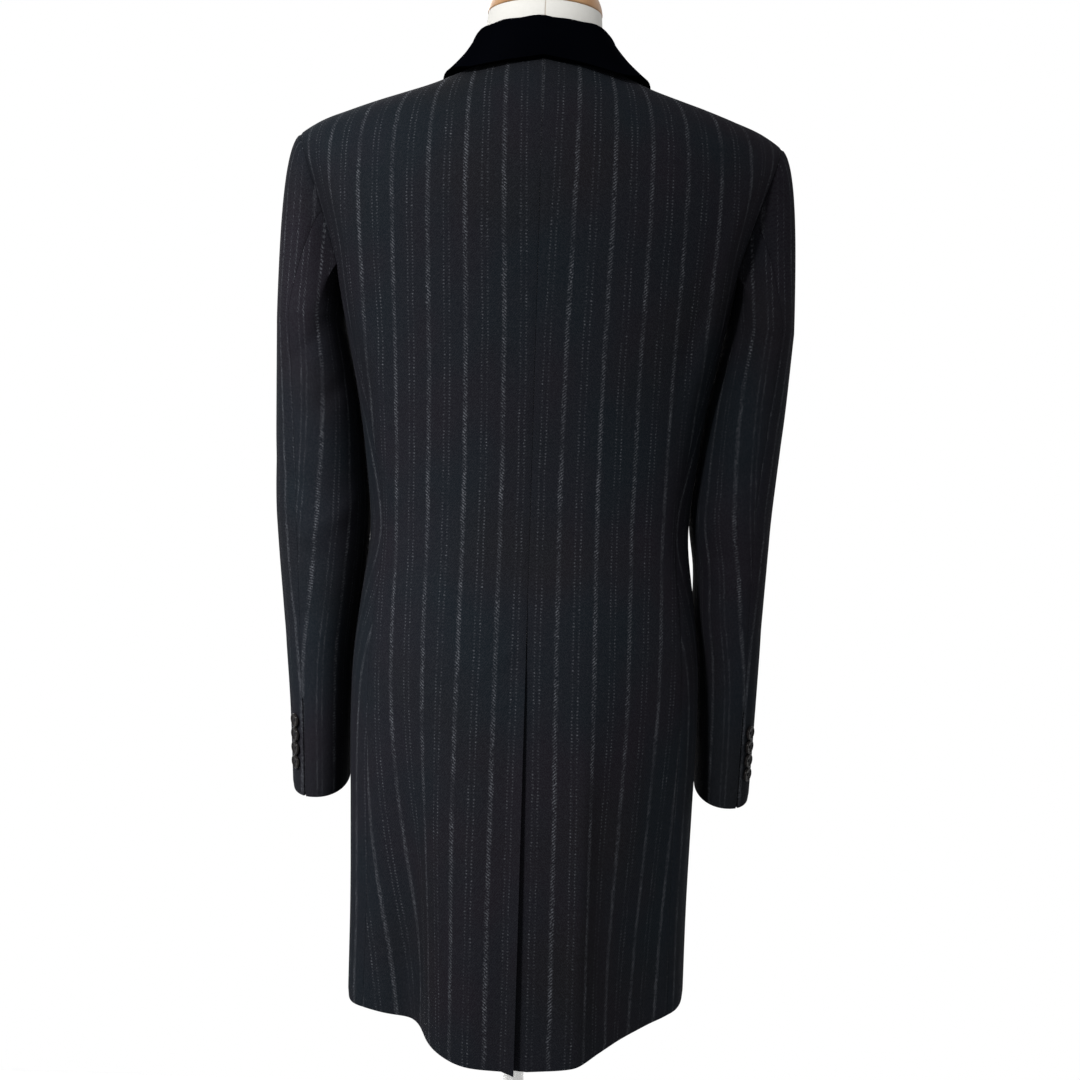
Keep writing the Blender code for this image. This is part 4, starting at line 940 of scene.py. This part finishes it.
# ---------------------------------------------------------------- walls cut from a skin
def cut_wall(skin, label, wall, weave):
    """Points, faces and cloth coordinates of the wall under a skin's faces with this label."""
    faces = [face for face, name in zip(skin.faces, skin.labels) if name == label]
    edges = set()
    for corners in faces:
        edges.update(zip(corners, corners[1:] + corners[:1]))
    rim = [(a, b) for a, b in edges if (b, a) not in edges]
    inward = {}
    for a, b in rim:
        along = skin.points[b] - skin.points[a]
        for k in (a, b):
            inward.setdefault(k, []).append(unit(np.cross(skin.normals[k], along)))
    used = sorted({k for corners in faces for k in corners})
    order = {k: n for n, k in enumerate(used)}
    outer, inner = [], []
    for k in used:
        shift = np.zeros(3)
        into = -skin.normals[k]
        drop = 0.0
        if k in inward:
            first, last = inward[k]
            shift = 0.5 * SEAM_GAP * (first + last) / max(1 + first.dot(last), CORNER_LIMIT)
            drop = EDGE_DROP
        if k in skin.fixed:
            fixed_shift, into, along = skin.fixed[k]
            if k in inward:
                ends_here = first.dot(last) < 0.5
                apart = SEAM_END_GAP * np.sign(shift.dot(along)) if ends_here else 0.0
                shift = fixed_shift + along * apart
        outer.append(skin.points[k] + shift + into * drop)
        inner.append(skin.points[k] + shift + into * wall)
    count = len(used)
    solid = [tuple(order[k] for k in corners) for corners in faces]
    solid += [tuple(order[k] + count for k in corners[::-1]) for corners in faces]
    for a, b in rim:
        solid.append((order[b], order[a], order[a] + count, order[b] + count))
    cloth = [weave.get(k, (0.0, 0.0)) for k in used]
    return outer + inner, solid, cloth + cloth


def link(name, data):
    """A new object in the scene."""
    piece = bpy.data.objects.new(name, data)
    bpy.context.scene.collection.objects.link(piece)
    return piece


def add_mesh(name, points, faces, material, cloth=None, angle=40):
    mesh = bpy.data.meshes.new(name)
    mesh.from_pydata([tuple(point) for point in points], [], faces)
    mesh.materials.append(material)
    if cloth is not None:
        layer = mesh.uv_layers.new(name="cloth")
        indexes = np.zeros(len(mesh.loops), dtype=np.int32)
        mesh.loops.foreach_get("vertex_index", indexes)
        layer.data.foreach_set("uv", np.array(cloth, dtype=np.float32)[indexes].ravel())
    mesh.shade_smooth()
    mesh.set_sharp_from_angle(angle=math.radians(angle))
    return link(name, mesh)


def dress(piece, node):
    """Makes a piece ride on the one body and stand for its CAD node."""
    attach(piece, "root")
    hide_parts(node)
    return piece


def cloth_piece(node, wall, material):
    piece = dress(add_mesh("cloth_" + node, *wall[:2], material, wall[2]), node)
    return piece


# ---------------------------------------------------------------- coat pieces
def lapel_skin(side, body):
    """The turned-back front edge, made from the front's points moved out."""
    skin = Skin()
    gorge = ROLL_LINE_X.index(GORGE_X) + 1
    foot = len(ROLL_LINE_X) if side > 0 else len(ROLL_LINE_X) - 2
    stations = body.roll_line[gorge * NECK_STEPS:foot * NECK_STEPS + 1]
    top_z, low_z = body.points[stations[0]][2], body.points[stations[-1]][2]
    least, gain, power = LAPEL_WIDTH_SHARES
    grid = []
    for index in stations:
        root = body.points[index]
        x0, z0 = side * root[0], root[2]
        share = (z0 - low_z) / (top_z - low_z)
        width = (LAPEL_TIP[0] - GORGE_X) * (least + gain * share ** power)
        drop = (top_z - LAPEL_TIP[1]) * share ** 2
        row = []
        for q in range(LAPEL_CELLS + 1):
            t = q / LAPEL_CELLS
            x, z = x0 + width * t, z0 - drop * t
            surface, facing = front_surface(side, x, z)
            if q == 0:
                surface, facing = root, body.normals[index]
            lift = LAPEL_EDGE_GAP + (LAY_GAP - LAPEL_EDGE_GAP) * min(3 * t, 1.0)
            lift += LAPEL_ROLL * share * math.sin(math.pi * min(1.5 * t, 1.0))
            row.append(skin.add(surface + facing * (WALL + lift)))
            skin.weave[row[-1]] = (width * (1 - t) + 0.5 * STRIPE_PITCH, z)
        grid.append(row)
    for upper, lower in zip(grid, grid[1:]):
        skin.strip(upper, lower, "lapel", side < 0)
    skin.finish_normals()
    return skin


def front_surface(side, x, z):
    """A point of the front's outside and the direction it faces."""
    step = 0.002
    point = body_point(side, x / half_width(z), z, False)
    beside = body_point(side, (x + step) / half_width(z), z, False) - point
    above = body_point(side, x / half_width(z + step), z + step, False) - point
    facing = np.cross(beside, above) * side
    point[1] -= lap_move(side, x)
    return point, unit(facing)


def collar_skin(left, right):
    """Stand, fold and fall in one strip, its foot on the neckline's own points."""
    skin = Skin()
    gorge = (ROLL_LINE_X.index(GORGE_X) + 1) * NECK_STEPS
    curves = smooth_columns([(k, *row) for k, row in enumerate(COLLAR_ROWS)])
    halves = []
    for side, body in ((-1, right), (+1, left)):
        feet = list(body.back_neck) + list(body.roll_line[1:gorge + 1])
        halves.append([(side, body, index, k / NECK_STEPS) for k, index in enumerate(feet)])
    line = halves[0][::-1] + halves[1][1:]
    neckline = [body.points[index] for _, body, index, _ in line]
    stand_cells, fold_cells, fall_cells = COLLAR_CELLS
    grid = []
    for k, (side, body, index, station) in enumerate(line):
        fold_x, fold_y, fold_z, edge_x, edge_y, lift = (curve(station) for curve in curves)
        along = neckline[min(k + 1, len(line) - 1)] - neckline[max(k - 1, 0)]
        beyond = unit(np.cross(along, body.normals[index])) * COLLAR_FOOT_GAP
        foot = body.points[index] - body.normals[index] * WALL + beyond
        wave = sum(rise * math.sin(turns * side * station + start)
                   for rise, turns, start in COLLAR_WAVES)
        fold = np.array([side * fold_x, fold_y, fold_z + wave])
        edge_x = side * edge_x - COLLAR_SHIFT * ease(edge_x, 0.0, COLLAR_SHIFT_REACH)
        edge = np.array([edge_x, edge_y, roof_height(edge_x, edge_y) + lift])
        out = unit((edge - fold) * (1.0, 1.0, 0.0))
        up = np.array([0.0, 0.0, 1.0])
        centre = fold - up * COLLAR_ROLL
        inner_top = centre - out * COLLAR_ROLL
        outer_top = centre + out * COLLAR_ROLL
        round_out = COLLAR_BELLY * (1 - COLLAR_HOLLOW * ease(fold_x, *COLLAR_HOLLOW_REACH))
        points = [foot + (inner_top - foot) * n / stand_cells for n in range(stand_cells)]
        for n in range(fold_cells + 1):
            turn = math.pi * (1 - n / fold_cells)
            points.append(centre + COLLAR_ROLL * (out * math.cos(turn) + up * math.sin(turn)))
        for n in range(1, fall_cells + 1):
            t = n / fall_cells
            belly = round_out * math.sin(math.pi * t)
            points.append(outer_top + (edge - outer_top) * t + out * belly)
        grid.append([skin.add(point) for point in points])
        for n, point in enumerate(grid[-1]):
            skin.weave[point] = (0.01 * station * side, 0.003 * n)
        skin.fixed[grid[-1][0]] = (np.zeros(3), body.normals[index], np.zeros(3))
    strips = list(zip(*grid))
    for inner, outer in zip(strips, strips[1:]):
        skin.strip(inner, outer, "collar")
    skin.finish_normals()
    return skin


def turn_to(facing):
    """Rotation that turns +Z to a direction."""
    across = unit(np.cross([0.0, 0.0, 1.0], facing))
    return np.array([across, np.cross(facing, across), facing]).T


def spot_on(skin, first, share, height):
    """Point and facing of the flat face between two neighbouring columns at a height."""
    ends = []
    for column in (skin.columns[first], skin.columns[first + 1]):
        points = sorted((skin.points[k] for k in column), key=lambda point: point[2])
        above = next(k for k, point in enumerate(points) if point[2] > height)
        low, high = points[above - 1], points[above]
        ends.append(low + (high - low) * (height - low[2]) / (high[2] - low[2]))
        rise = high - low
    across = ends[1] - ends[0]
    return ends[0] + across * share, unit(np.cross(across, rise))


def make_cuff_buttons(name, sleeve, material, thread):
    """Four buttons that all but touch, up the vent on the top sleeve."""
    for k in range(CUFF_BUTTON_COUNT):
        height = CUFF_BUTTON_LOW_Z + CUFF_BUTTON_PITCH * k
        inset = CUFF_BUTTON_INSET
        column = SEAM_STEP
        while True:
            near, _ = spot_on(sleeve, column, 0.0, height)
            far, _ = spot_on(sleeve, column, 1.0, height)
            width = np.linalg.norm(far - near)
            if inset <= width:
                break
            inset -= width
            column += 1
        place, facing = spot_on(sleeve, column, inset / width, height)
        if facing[1] < 0:
            facing = -facing
        place = place + facing * CUFF_BUTTON_SEAT
        node = "cuff_button_%s_%d" % (name, k + 1)
        make_button(node, place, facing, CUFF_BUTTON, material, thread)


def make_front_buttons(material, thread):
    """Three buttons down the centre line on the left front."""
    for k, height in enumerate(FRONT_BUTTON_HEIGHTS):
        place, facing = front_surface(+1, 0.0, height)
        place = place + facing * FRONT_BUTTON_SEAT
        make_button("front_button_%d" % (k + 1), place, facing, FRONT_BUTTON, material, thread)


def make_button(node, place, facing, size, material, thread):
    """A turned button with a rolled rim, a dished middle and four sewn holes."""
    radius, thickness = size
    turn = turn_to(facing)
    points, faces = turned_mesh(BUTTON_PROFILE, BUTTON_SIDES, radius, thickness)
    points = [place + turn @ point for point in points]
    dress(add_mesh("turned_" + node, points, faces, material), node)
    level = BUTTON_PROFILE[-1][1] * thickness
    stitches, corners = [], []
    gauge = STITCH_GAUGE[0] * radius + STITCH_GAUGE[1]
    for across in ((1, 1), (1, -1)):
        reach = STITCH_REACH * radius * np.array([*across, 0.0])
        side = unit(np.cross([0.0, 0.0, 1.0], reach)) * gauge
        base = len(stitches)
        for n in range(STITCH_STEPS + 1):
            t = n / STITCH_STEPS
            rise = level + STITCH_ARCH[0] * math.sin(math.pi * t) - STITCH_ARCH[1]
            middle = np.array([0.0, 0.0, rise]) + reach * (2 * t - 1)
            for q in range(STITCH_SIDES):
                around = 2 * math.pi * q / STITCH_SIDES
                lift = np.array([0.0, 0.0, gauge * math.sin(around)])
                stitches.append(place + turn @ (middle + side * math.cos(around) + lift))
        rings = [[base + STITCH_SIDES * n + q for q in range(STITCH_SIDES)]
                 for n in range(STITCH_STEPS + 1)]
        for low, up in zip(rings, rings[1:]):
            corners += zip(low, low[1:] + low[:1], up[1:] + up[:1], up)
        corners += [tuple(rings[0][::-1]), tuple(rings[-1])]
    sewn = add_mesh("thread_" + node, stitches, corners, thread)
    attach(sewn, "root")


# ---------------------------------------------------------------- dress form and stand
def turned_mesh(profile, sides, wide=1.0, high=1.0):
    """Points and faces of a solid of revolution; a radius of 0 closes it in a point."""
    points, faces, rings = [], [], []
    for radius, height in profile:
        if radius == 0:
            rings.append([len(points)] * sides)
            points.append(np.array([0.0, 0.0, height * high]))
            continue
        rings.append(list(range(len(points), len(points) + sides)))
        for k in range(sides):
            angle = 2 * math.pi * k / sides
            points.append(np.array([wide * radius * math.cos(angle),
                                    wide * radius * math.sin(angle), height * high]))
    for low, up in zip(rings, rings[1:]):
        for k in range(sides):
            after = (k + 1) % sides
            corners = [low[k], low[after], up[after], up[k]]
            faces.append(tuple(dict.fromkeys(corners)))
    return points, faces


def turned(node, profile, sides, material):
    points, faces = turned_mesh(profile, sides)
    return dress(add_mesh("turned_" + node, points, faces, material, angle=50), node)


def rounded(profile, reach, steps=5):
    """The profile with each inner corner replaced by a short arc."""
    fine = [profile[0]]
    for before, corner, after in zip(profile, profile[1:], profile[2:]):
        a, b, c = (np.array(point, float) for point in (before, corner, after))
        into, away = a - b, c - b
        cut = min(reach, 0.45 * np.linalg.norm(into), 0.45 * np.linalg.norm(away))
        start, end = b + unit(into) * cut, b + unit(away) * cut
        for k in range(steps + 1):
            t = k / steps
            fine.append(tuple(start * (1 - t) ** 2 + 2 * b * t * (1 - t) + end * t * t))
    return fine + [profile[-1]]


def make_stand(wood, lacquer):
    """Wooden neck cap above the form, and the pole and base below it."""
    cap_foot = FORM_NECK_TOP_Z + SEAM_GAP
    profile = [(0.0, cap_foot), (FORM_NECK_RADIUS - CAP_BEVEL, cap_foot),
               (FORM_NECK_RADIUS, cap_foot + CAP_BEVEL)]
    for k in range(1, CAP_STEPS - 1):
        turn = 0.5 * math.pi * k / CAP_STEPS
        profile.append((FORM_NECK_RADIUS * math.cos(turn) ** CAP_POWER,
                        cap_foot + CAP_HEIGHT * math.sin(turn)))
    profile.append((0.0, cap_foot + CAP_HEIGHT * 0.999))
    turned("form_cap", profile, 96, wood)
    hub_top = BASE_HEIGHT + HUB_HEIGHT
    pole_top = FORM_BOTTOM_Z - SEAM_GAP
    pole = [(0.0, hub_top + SEAM_GAP), (POLE_RADIUS, hub_top + SEAM_GAP),
            (POLE_RADIUS, pole_top), (0.0, pole_top)]
    turned("stand_pole", rounded(pole, 0.0008, 3), 64, lacquer)
    base = [
        (0.0, 0.0), (BASE_RADIUS, 0.0), (BASE_RADIUS, 0.6 * BASE_HEIGHT),
        (0.97 * BASE_RADIUS, BASE_HEIGHT), (1.6 * HUB_RADIUS, BASE_HEIGHT + 0.002),
        (HUB_RADIUS, BASE_HEIGHT + 0.010), (0.75 * HUB_RADIUS, hub_top), (0.0, hub_top),
    ]
    turned("stand_base", rounded(base, 0.004, 4), 128, lacquer)


def make_form(material):
    """Linen torso with its neck: the coat's plain surface drawn in by the ease, then closed."""
    skin = Skin()
    shares, weights = back_shares(), front_weights()[:SHOULDER_COLUMNS + 1]
    back_edge = len(shares) - 1
    neck_start = back_edge + SIDE_CELLS + SHOULDER_COLUMNS + 1
    neck_rings, holes, centre = [], [], None
    for side in (+1, -1):
        columns = [back_column(side, share, FORM_BOTTOM_Z, False, FORM_NECK_DROP)
                   for share in shares]
        columns += [side_column(side, k / SIDE_CELLS, FORM_BOTTOM_Z, False)
                    for k in range(1, SIDE_CELLS)]
        columns += [form_front_column(side, weight, 1.0) for weight in weights]
        columns += [form_front_column(side, weights[-1], 1 - k / BACK_NECK_COLUMNS)
                    for k in range(1, BACK_NECK_COLUMNS + 1)]
        columns, hole = join_columns(skin, side, columns, back_edge, centre)
        centre = columns[0], columns[-1]
        tops = [column[-1] for column in columns]
        neck_rings.append(tops[:BACK_NECK_COLUMNS + 1] + tops[neck_start:])
        holes.append(hole)
        if side > 0:
            bottom = [column[0] for column in columns]
        else:
            bottom += [column[0] for column in columns[-2:0:-1]]
    skin.finish_normals()
    points = []
    for point, normal in zip(skin.points, skin.normals):
        drop = ridge_height(abs(point[0])) - point[2]
        room = form_ease(drop) + FORM_NECK_EASE * (1 - ease(abs(point[0]), *FORM_NECK_REACH))
        point = point - normal * (WALL + room)
        if point[2] > ARMPIT_Z - 2 * UNDERARM_DIP:
            point[0] *= 1 - FORM_TIP_INSET * ease(abs(point[0]), *FORM_TIP_REACH)
        points.append(point)
    for k in bottom:
        points[k][2] = FORM_BOTTOM_Z
    faces = skin.faces + [tuple(bottom)]
    for side, hole in zip((+1, -1), holes):
        middle = len(points)
        points.append(np.array([points[k] for k in hole]).mean(axis=0))
        for a, b in zip(hole, hole[1:] + hole[:1]):
            faces.append((a, b, middle) if side > 0 else (b, a, middle))
    foot_ring = loop = neck_rings[0] + neck_rings[1][-2:0:-1]
    for t in FORM_NECK_STEPS:
        ring = []
        for index in foot_ring:
            foot = points[index]
            angle = math.atan2(foot[1], foot[0])
            rim = FORM_NECK_RADIUS * np.array([math.cos(angle), math.sin(angle), 0.0])
            point = foot + (rim - foot) * t
            point[2] = foot[2] + (FORM_NECK_TOP_Z - foot[2]) * t ** FORM_NECK_FLARE
            ring.append(len(points))
            points.append(point)
        for a, b, c, d in zip(loop, loop[1:] + loop[:1], ring[1:] + ring[:1], ring):
            faces.append((d, c, b, a))
        loop = ring
    faces.append(tuple(loop)[::-1])
    return dress(add_mesh("linen_form", points, faces, material), "form_torso")


# ---------------------------------------------------------------- materials
class Term:
    """A shader value; arithmetic with it adds the nodes that work it out."""

    def __init__(self, nodes, socket):
        self.nodes = nodes
        self.socket = socket

    def __add__(self, other):
        return self.nodes.math("ADD", self, other)

    def __sub__(self, other):
        return self.nodes.math("SUBTRACT", self, other)

    def __rsub__(self, other):
        return self.nodes.math("SUBTRACT", other, self)

    def __mul__(self, other):
        return self.nodes.math("MULTIPLY", self, other)

    def __truediv__(self, other):
        return self.nodes.math("DIVIDE", self, other)

    def __abs__(self):
        return self.nodes.math("ABSOLUTE", self)

    def at_least(self, floor):
        return self.nodes.math("MAXIMUM", floor, self)


class Nodes:
    """Short calls that add shader nodes and join them."""

    def __init__(self, name):
        self.material = bpy.data.materials.new(name)
        self.material.use_nodes = True
        self.tree = self.material.node_tree
        self.shader = self.tree.nodes["Principled BSDF"]

    def feed(self, socket, value):
        if isinstance(value, Term):
            self.tree.links.new(value.socket, socket)
        elif isinstance(value, tuple) and len(value) == 3 and socket.type == "RGBA":
            socket.default_value = (*value, 1.0)
        elif value is not None:
            socket.default_value = value

    def add(self, kind, inputs, output=0, **settings):
        """A node with these settings and inputs; gives one of its outputs."""
        node = self.tree.nodes.new("ShaderNode" + kind)
        for name, value in settings.items():
            setattr(node, name, value)
        for name, value in inputs.items():
            self.feed(node.inputs[name], value)
        return Term(self, node.outputs[output])

    def math(self, kind, *values):
        return self.add("Math", dict(enumerate(values)), operation=kind)

    def wave(self, value, pitch):
        return self.math("SINE", value * (2 * math.pi / pitch))

    def uv(self):
        return self.add("UVMap", {}, uv_map="cloth")

    def place(self):
        return self.add("TexCoord", {}, "Object")

    def parts(self, vector):
        outputs = self.add("SeparateXYZ", {0: vector}).socket.node.outputs
        return [Term(self, socket) for socket in outputs]

    def noise(self, scale, detail=3.0, rough=0.55, vector=None, stretch=None):
        vector = self.place() if vector is None else vector
        if stretch is not None:
            vector = self.add("Mapping", {"Scale": stretch, "Vector": vector})
        return self.add("TexNoise", {"Scale": scale, "Detail": detail, "Roughness": rough,
                                     "Vector": vector}, "Fac")

    def mix(self, share, first, second):
        return self.add("Mix", {0: share, 6: first, 7: second}, 2, data_type="RGBA")

    def band(self, value, middle, half, soft):
        """1 within half of the middle, falling to 0 over soft."""
        fall = (half + soft - abs(value - middle)) / soft
        return self.math("SMOOTH_MIN", 1.0, fall.at_least(0.0), 0.1)

    def bump(self, height, distance, strength=1.0, normal=None):
        return self.add("Bump", {"Strength": strength, "Distance": distance, "Height": height,
                                 "Normal": normal})

    def finish(self, colour, roughness, normal=None, **others):
        inputs = {"Base Color": colour, "Roughness": roughness, "Normal": normal}
        inputs.update((name.replace("_", " "), value) for name, value in others.items())
        for name, value in inputs.items():
            self.feed(self.shader.inputs[name], value)
        return self.material


def coat_cloth():
    """Dark twill with broad chalk stripes and, between them, a pair of fine broken ones."""
    n = Nodes("chalk_stripe_cloth")
    u, v, _ = n.parts(n.uv())
    # the yarns wander a little, so no line is ruled
    u += (n.noise(18.0, 2.0) - 0.5) * YARN_WANDER
    u += (n.noise(520.0, 1.0) - 0.5) * RAGGED_EDGE
    pitches = u / STRIPE_PITCH
    across = (n.math("FRACT", pitches + 0.5) - 0.5) * STRIPE_PITCH
    twill = n.wave(u + v * 0.8, TWILL_PITCH)
    hatch = n.wave(u * 0.9 - v, HATCH_PITCH)
    dash = n.wave(v, DASH_PITCH)
    broad = n.band(across, *BROAD_STRIPE) * (hatch * 0.54 + 0.46).at_least(0.0)
    from_middle = abs(abs(across) - 0.5 * STRIPE_PITCH)
    fine = n.band(from_middle, *FINE_STRIPE) * (dash * 0.75 + 0.25).at_least(0.0)
    specks = ((n.noise(620.0, 1.0, 0.5) - 0.34) * 3.4).at_least(0.0)
    # the chalk is stronger here and fainter there along each stripe
    worn = n.noise(1.0, 3.0, 0.6, n.add("CombineXYZ", {0: pitches * 2.3, 1: v * 26.0}))
    worn = ((worn - 0.5) * 3.6 + 0.80).at_least(0.12)
    chalk = (broad * 0.95 + fine * 0.74) * specks * worn
    # the ground: two dark casts, a warmer one, the twill's lighter ribs, flecks
    cast = (n.noise(10.0, 2.0, 0.5, stretch=(1.0, 1.0, 0.7)) - 0.36) * 3.4
    colour = n.mix(cast, (0.0022, 0.0035, 0.0049), (0.0037, 0.0030, 0.0044))
    warm = (n.noise(6.0, 1.0) - 0.5) * 2.6
    colour = n.mix(warm.at_least(0.0), colour, (0.0031, 0.0029, 0.0030))
    colour = n.mix((twill + 1.0) * 0.16, colour, (0.0064, 0.0068, 0.0080))
    fleck = n.noise(900.0, 1.0)
    colour = n.mix(((fleck - 0.42) * 1.5).at_least(0.0), colour, (0.0100, 0.0106, 0.0126))
    colour = n.mix(chalk, colour, (0.036, 0.038, 0.043))
    nap = n.bump(twill * 0.35 + fleck, 0.00025, 0.55)
    soft = n.bump(n.noise(28.0, 2.0), 0.0012, 0.35, nap)
    return n.finish(colour, 0.92, soft, Sheen_Weight=0.004, Sheen_Roughness=0.45,
                    Sheen_Tint=(0.55, 0.62, 0.80, 1.0), Specular_IOR_Level=0.015)


def velvet():
    n = Nodes("black_velvet")
    colour = n.mix(n.noise(9.0, 2.0), (0.0002, 0.0003, 0.0006), (0.0006, 0.0007, 0.0012))
    pile = n.bump(n.noise(1400.0, 1.0), 0.0002, 0.5)
    brushed = n.bump(n.noise(26.0, 3.0), 0.0010, 0.30, pile)
    return n.finish(colour, 0.90, brushed, Sheen_Weight=0.003, Sheen_Roughness=0.30,
                    Sheen_Tint=(0.50, 0.52, 0.60, 1.0), Specular_IOR_Level=0.0)


def horn():
    n = Nodes("dark_horn")
    swirl = n.noise(160.0, 4.0, 0.6, stretch=(1.0, 1.0, 0.35))
    colour = n.mix(swirl, (0.0012, 0.0012, 0.0015), (0.0080, 0.0070, 0.0065))
    return n.finish(colour, swirl * 0.12 + 0.12, n.bump(swirl, 0.00008, 0.4),
                    Specular_IOR_Level=0.035)


def thread():
    n = Nodes("black_thread")
    twist = n.noise(2500.0, 1.0)
    colour = n.mix(twist, (0.002, 0.002, 0.003), (0.008, 0.008, 0.010))
    return n.finish(colour, 0.8, n.bump(twist, 0.0001, 0.5), Specular_IOR_Level=0.05)


def linen():
    """Plain weave with slubs, from two crossed sets of threads."""
    n = Nodes("natural_linen")
    x, y, z = n.parts(n.place())
    around = n.math("SINE", n.math("ARCTAN2", y, x) * LINEN_THREADS)
    weave = (around + n.wave(z, LINEN_PITCH)) * 0.25
    slub = n.noise(240.0, 3.0, 0.6, stretch=(1.0, 1.0, 8.0))
    weft = n.noise(240.0, 3.0, 0.6, stretch=(8.0, 8.0, 1.0))
    tone = slub * 0.5 + weft * 0.5
    colour = n.mix(tone, (0.375, 0.368, 0.345), (0.450, 0.444, 0.425))
    colour = n.mix((weave + 0.5) * 0.18, colour, (0.32, 0.31, 0.28))
    # the thin seam up the centre back
    seam = n.band(x, *LINEN_SEAM) * n.math("GREATER_THAN", y, 0.0)
    colour = n.mix(seam * 0.75, colour, (0.22, 0.19, 0.15))
    relief = n.bump(weave + tone - seam * 1.5, 0.0003, 0.6)
    return n.finish(colour, 0.92, relief, Specular_IOR_Level=0.05)


def wood():
    """Turned beech: rings drawn out along the height, under a satin varnish."""
    n = Nodes("varnished_beech")
    x, _, z = n.parts(n.place())
    grain = x * 240.0 + n.noise(9.0, 2.0) * 9.0 + z * 28.0
    rings = (n.math("SINE", grain) + 1.0) * 0.5
    pores = n.noise(700.0, 2.0, 0.6, stretch=(1.0, 1.0, 0.06))
    colour = n.mix(rings, (0.215, 0.112, 0.047), (0.275, 0.155, 0.072))
    colour = n.mix(pores * 0.5, colour, (0.15, 0.075, 0.030))
    return n.finish(colour, pores * 0.14 + 0.34, n.bump(pores, 0.0002, 0.25),
                    Specular_IOR_Level=0.25)


def lacquer():
    n = Nodes("white_lacquer")
    dust = n.noise(5.0, 4.0, 0.6)
    colour = n.mix(dust, (0.56, 0.56, 0.55), (0.62, 0.62, 0.61))
    return n.finish(colour, dust * 0.16 + 0.26, n.bump(n.noise(320.0, 2.0), 0.0002, 0.15),
                    Specular_IOR_Level=0.25)


def floor_paint():
    n = Nodes("pale_floor")
    colour = n.mix(n.noise(1.5, 2.0), (0.95, 0.95, 0.95), (0.97, 0.97, 0.97))
    return n.finish(colour, 0.9, n.bump(n.noise(60.0, 3.0), 0.0004, 0.2), Specular_IOR_Level=0.0)


# ---------------------------------------------------------------- camera, light and floor
def make_camera():
    """The photograph's camera: behind the coat, pitched, yawed and rolled a little."""
    turns = ((math.pi, "Z"), (0.5 * math.pi - CAMERA_PITCH, "X"), (CAMERA_YAW, "Y"),
             (CAMERA_ROLL, "Z"))
    matrix = Matrix.Translation(Vector(CAMERA_PLACE))
    for angle, axis in turns:
        matrix = matrix @ Matrix.Rotation(angle, 4, axis)
    data = bpy.data.cameras.new("camera")
    data.sensor_fit = "HORIZONTAL"
    data.sensor_width = 36.0
    data.lens = 36.0 * CAMERA_FOCUS / 1080.0
    data.clip_start = 0.05
    camera = link("camera", data)
    camera.matrix_world = matrix
    bpy.context.scene.camera = camera


def make_light(name, place, aim, size, power, spread=180.0):
    data = bpy.data.lights.new(name, "AREA")
    data.size = size
    data.energy = power
    data.spread = math.radians(spread)
    lamp = link(name, data)
    lamp.location = place
    lamp.rotation_euler = (Vector(aim) - Vector(place)).to_track_quat("-Z", "Y").to_euler()


def make_studio():
    mesh = bpy.data.meshes.new("floor")
    corners = [(-FLOOR_REACH, -FLOOR_REACH, 0), (FLOOR_REACH, -FLOOR_REACH, 0),
               (FLOOR_REACH, FLOOR_REACH, 0), (-FLOOR_REACH, FLOOR_REACH, 0)]
    mesh.from_pydata(corners, [], [(0, 1, 2, 3)])
    mesh.materials.append(floor_paint())
    link("floor", mesh)
    world = bpy.data.worlds.new("studio")
    world.use_nodes = True
    background = world.node_tree.nodes["Background"]
    background.inputs["Color"].default_value = (1.0, 1.0, 1.0, 1.0)
    background.inputs["Strength"].default_value = 1.0
    bpy.context.scene.world = world
    bpy.context.scene.view_settings.view_transform = "Standard"
    # two soft pools, one above the other, that fade from the photograph's left to its right
    make_light("key_high", (1.4, 2.5, 2.9), (0.45, 0.05, 1.35), 0.6, 8.5, 27.0)
    make_light("key_low", (1.5, 2.6, 2.4), (0.45, 0.05, 0.68), 0.6, 7.5, 26.0)
    make_light("front", (1.0, -2.6, 2.4), (0.0, 0.0, 1.0), 1.8, 60.0)


def main():
    cloth = coat_cloth()
    horn_button, black_thread = horn(), thread()
    bodies = {}
    for side, name in ((+1, "left"), (-1, "right")):
        body = bodies[side] = body_skin(side)
        sleeve = sleeve_skin(side, body)
        share_armhole(body, sleeve)
        for kind, skin, label, weave in (
            ("back", body, "back", body.weave),
            ("front", body, "front", body.front_weave),
            ("top_sleeve", sleeve, "top", sleeve.weave),
            ("under_sleeve", sleeve, "under", sleeve.under_weave),
        ):
            cloth_piece(kind + "_" + name, cut_wall(skin, label, WALL, weave), cloth)
        lapel = lapel_skin(side, body)
        cloth_piece("lapel_" + name, cut_wall(lapel, "lapel", WALL, lapel.weave),
                    cloth)
        make_cuff_buttons(name, sleeve, horn_button, black_thread)
    make_front_buttons(horn_button, black_thread)
    collar = collar_skin(bodies[+1], bodies[-1])
    wall = cut_wall(collar, "collar", VELVET_WALL, collar.weave)
    cloth_piece("collar", wall, velvet())
    make_form(linen())
    make_stand(wood(), lacquer())
    make_studio()
    make_camera()


main()
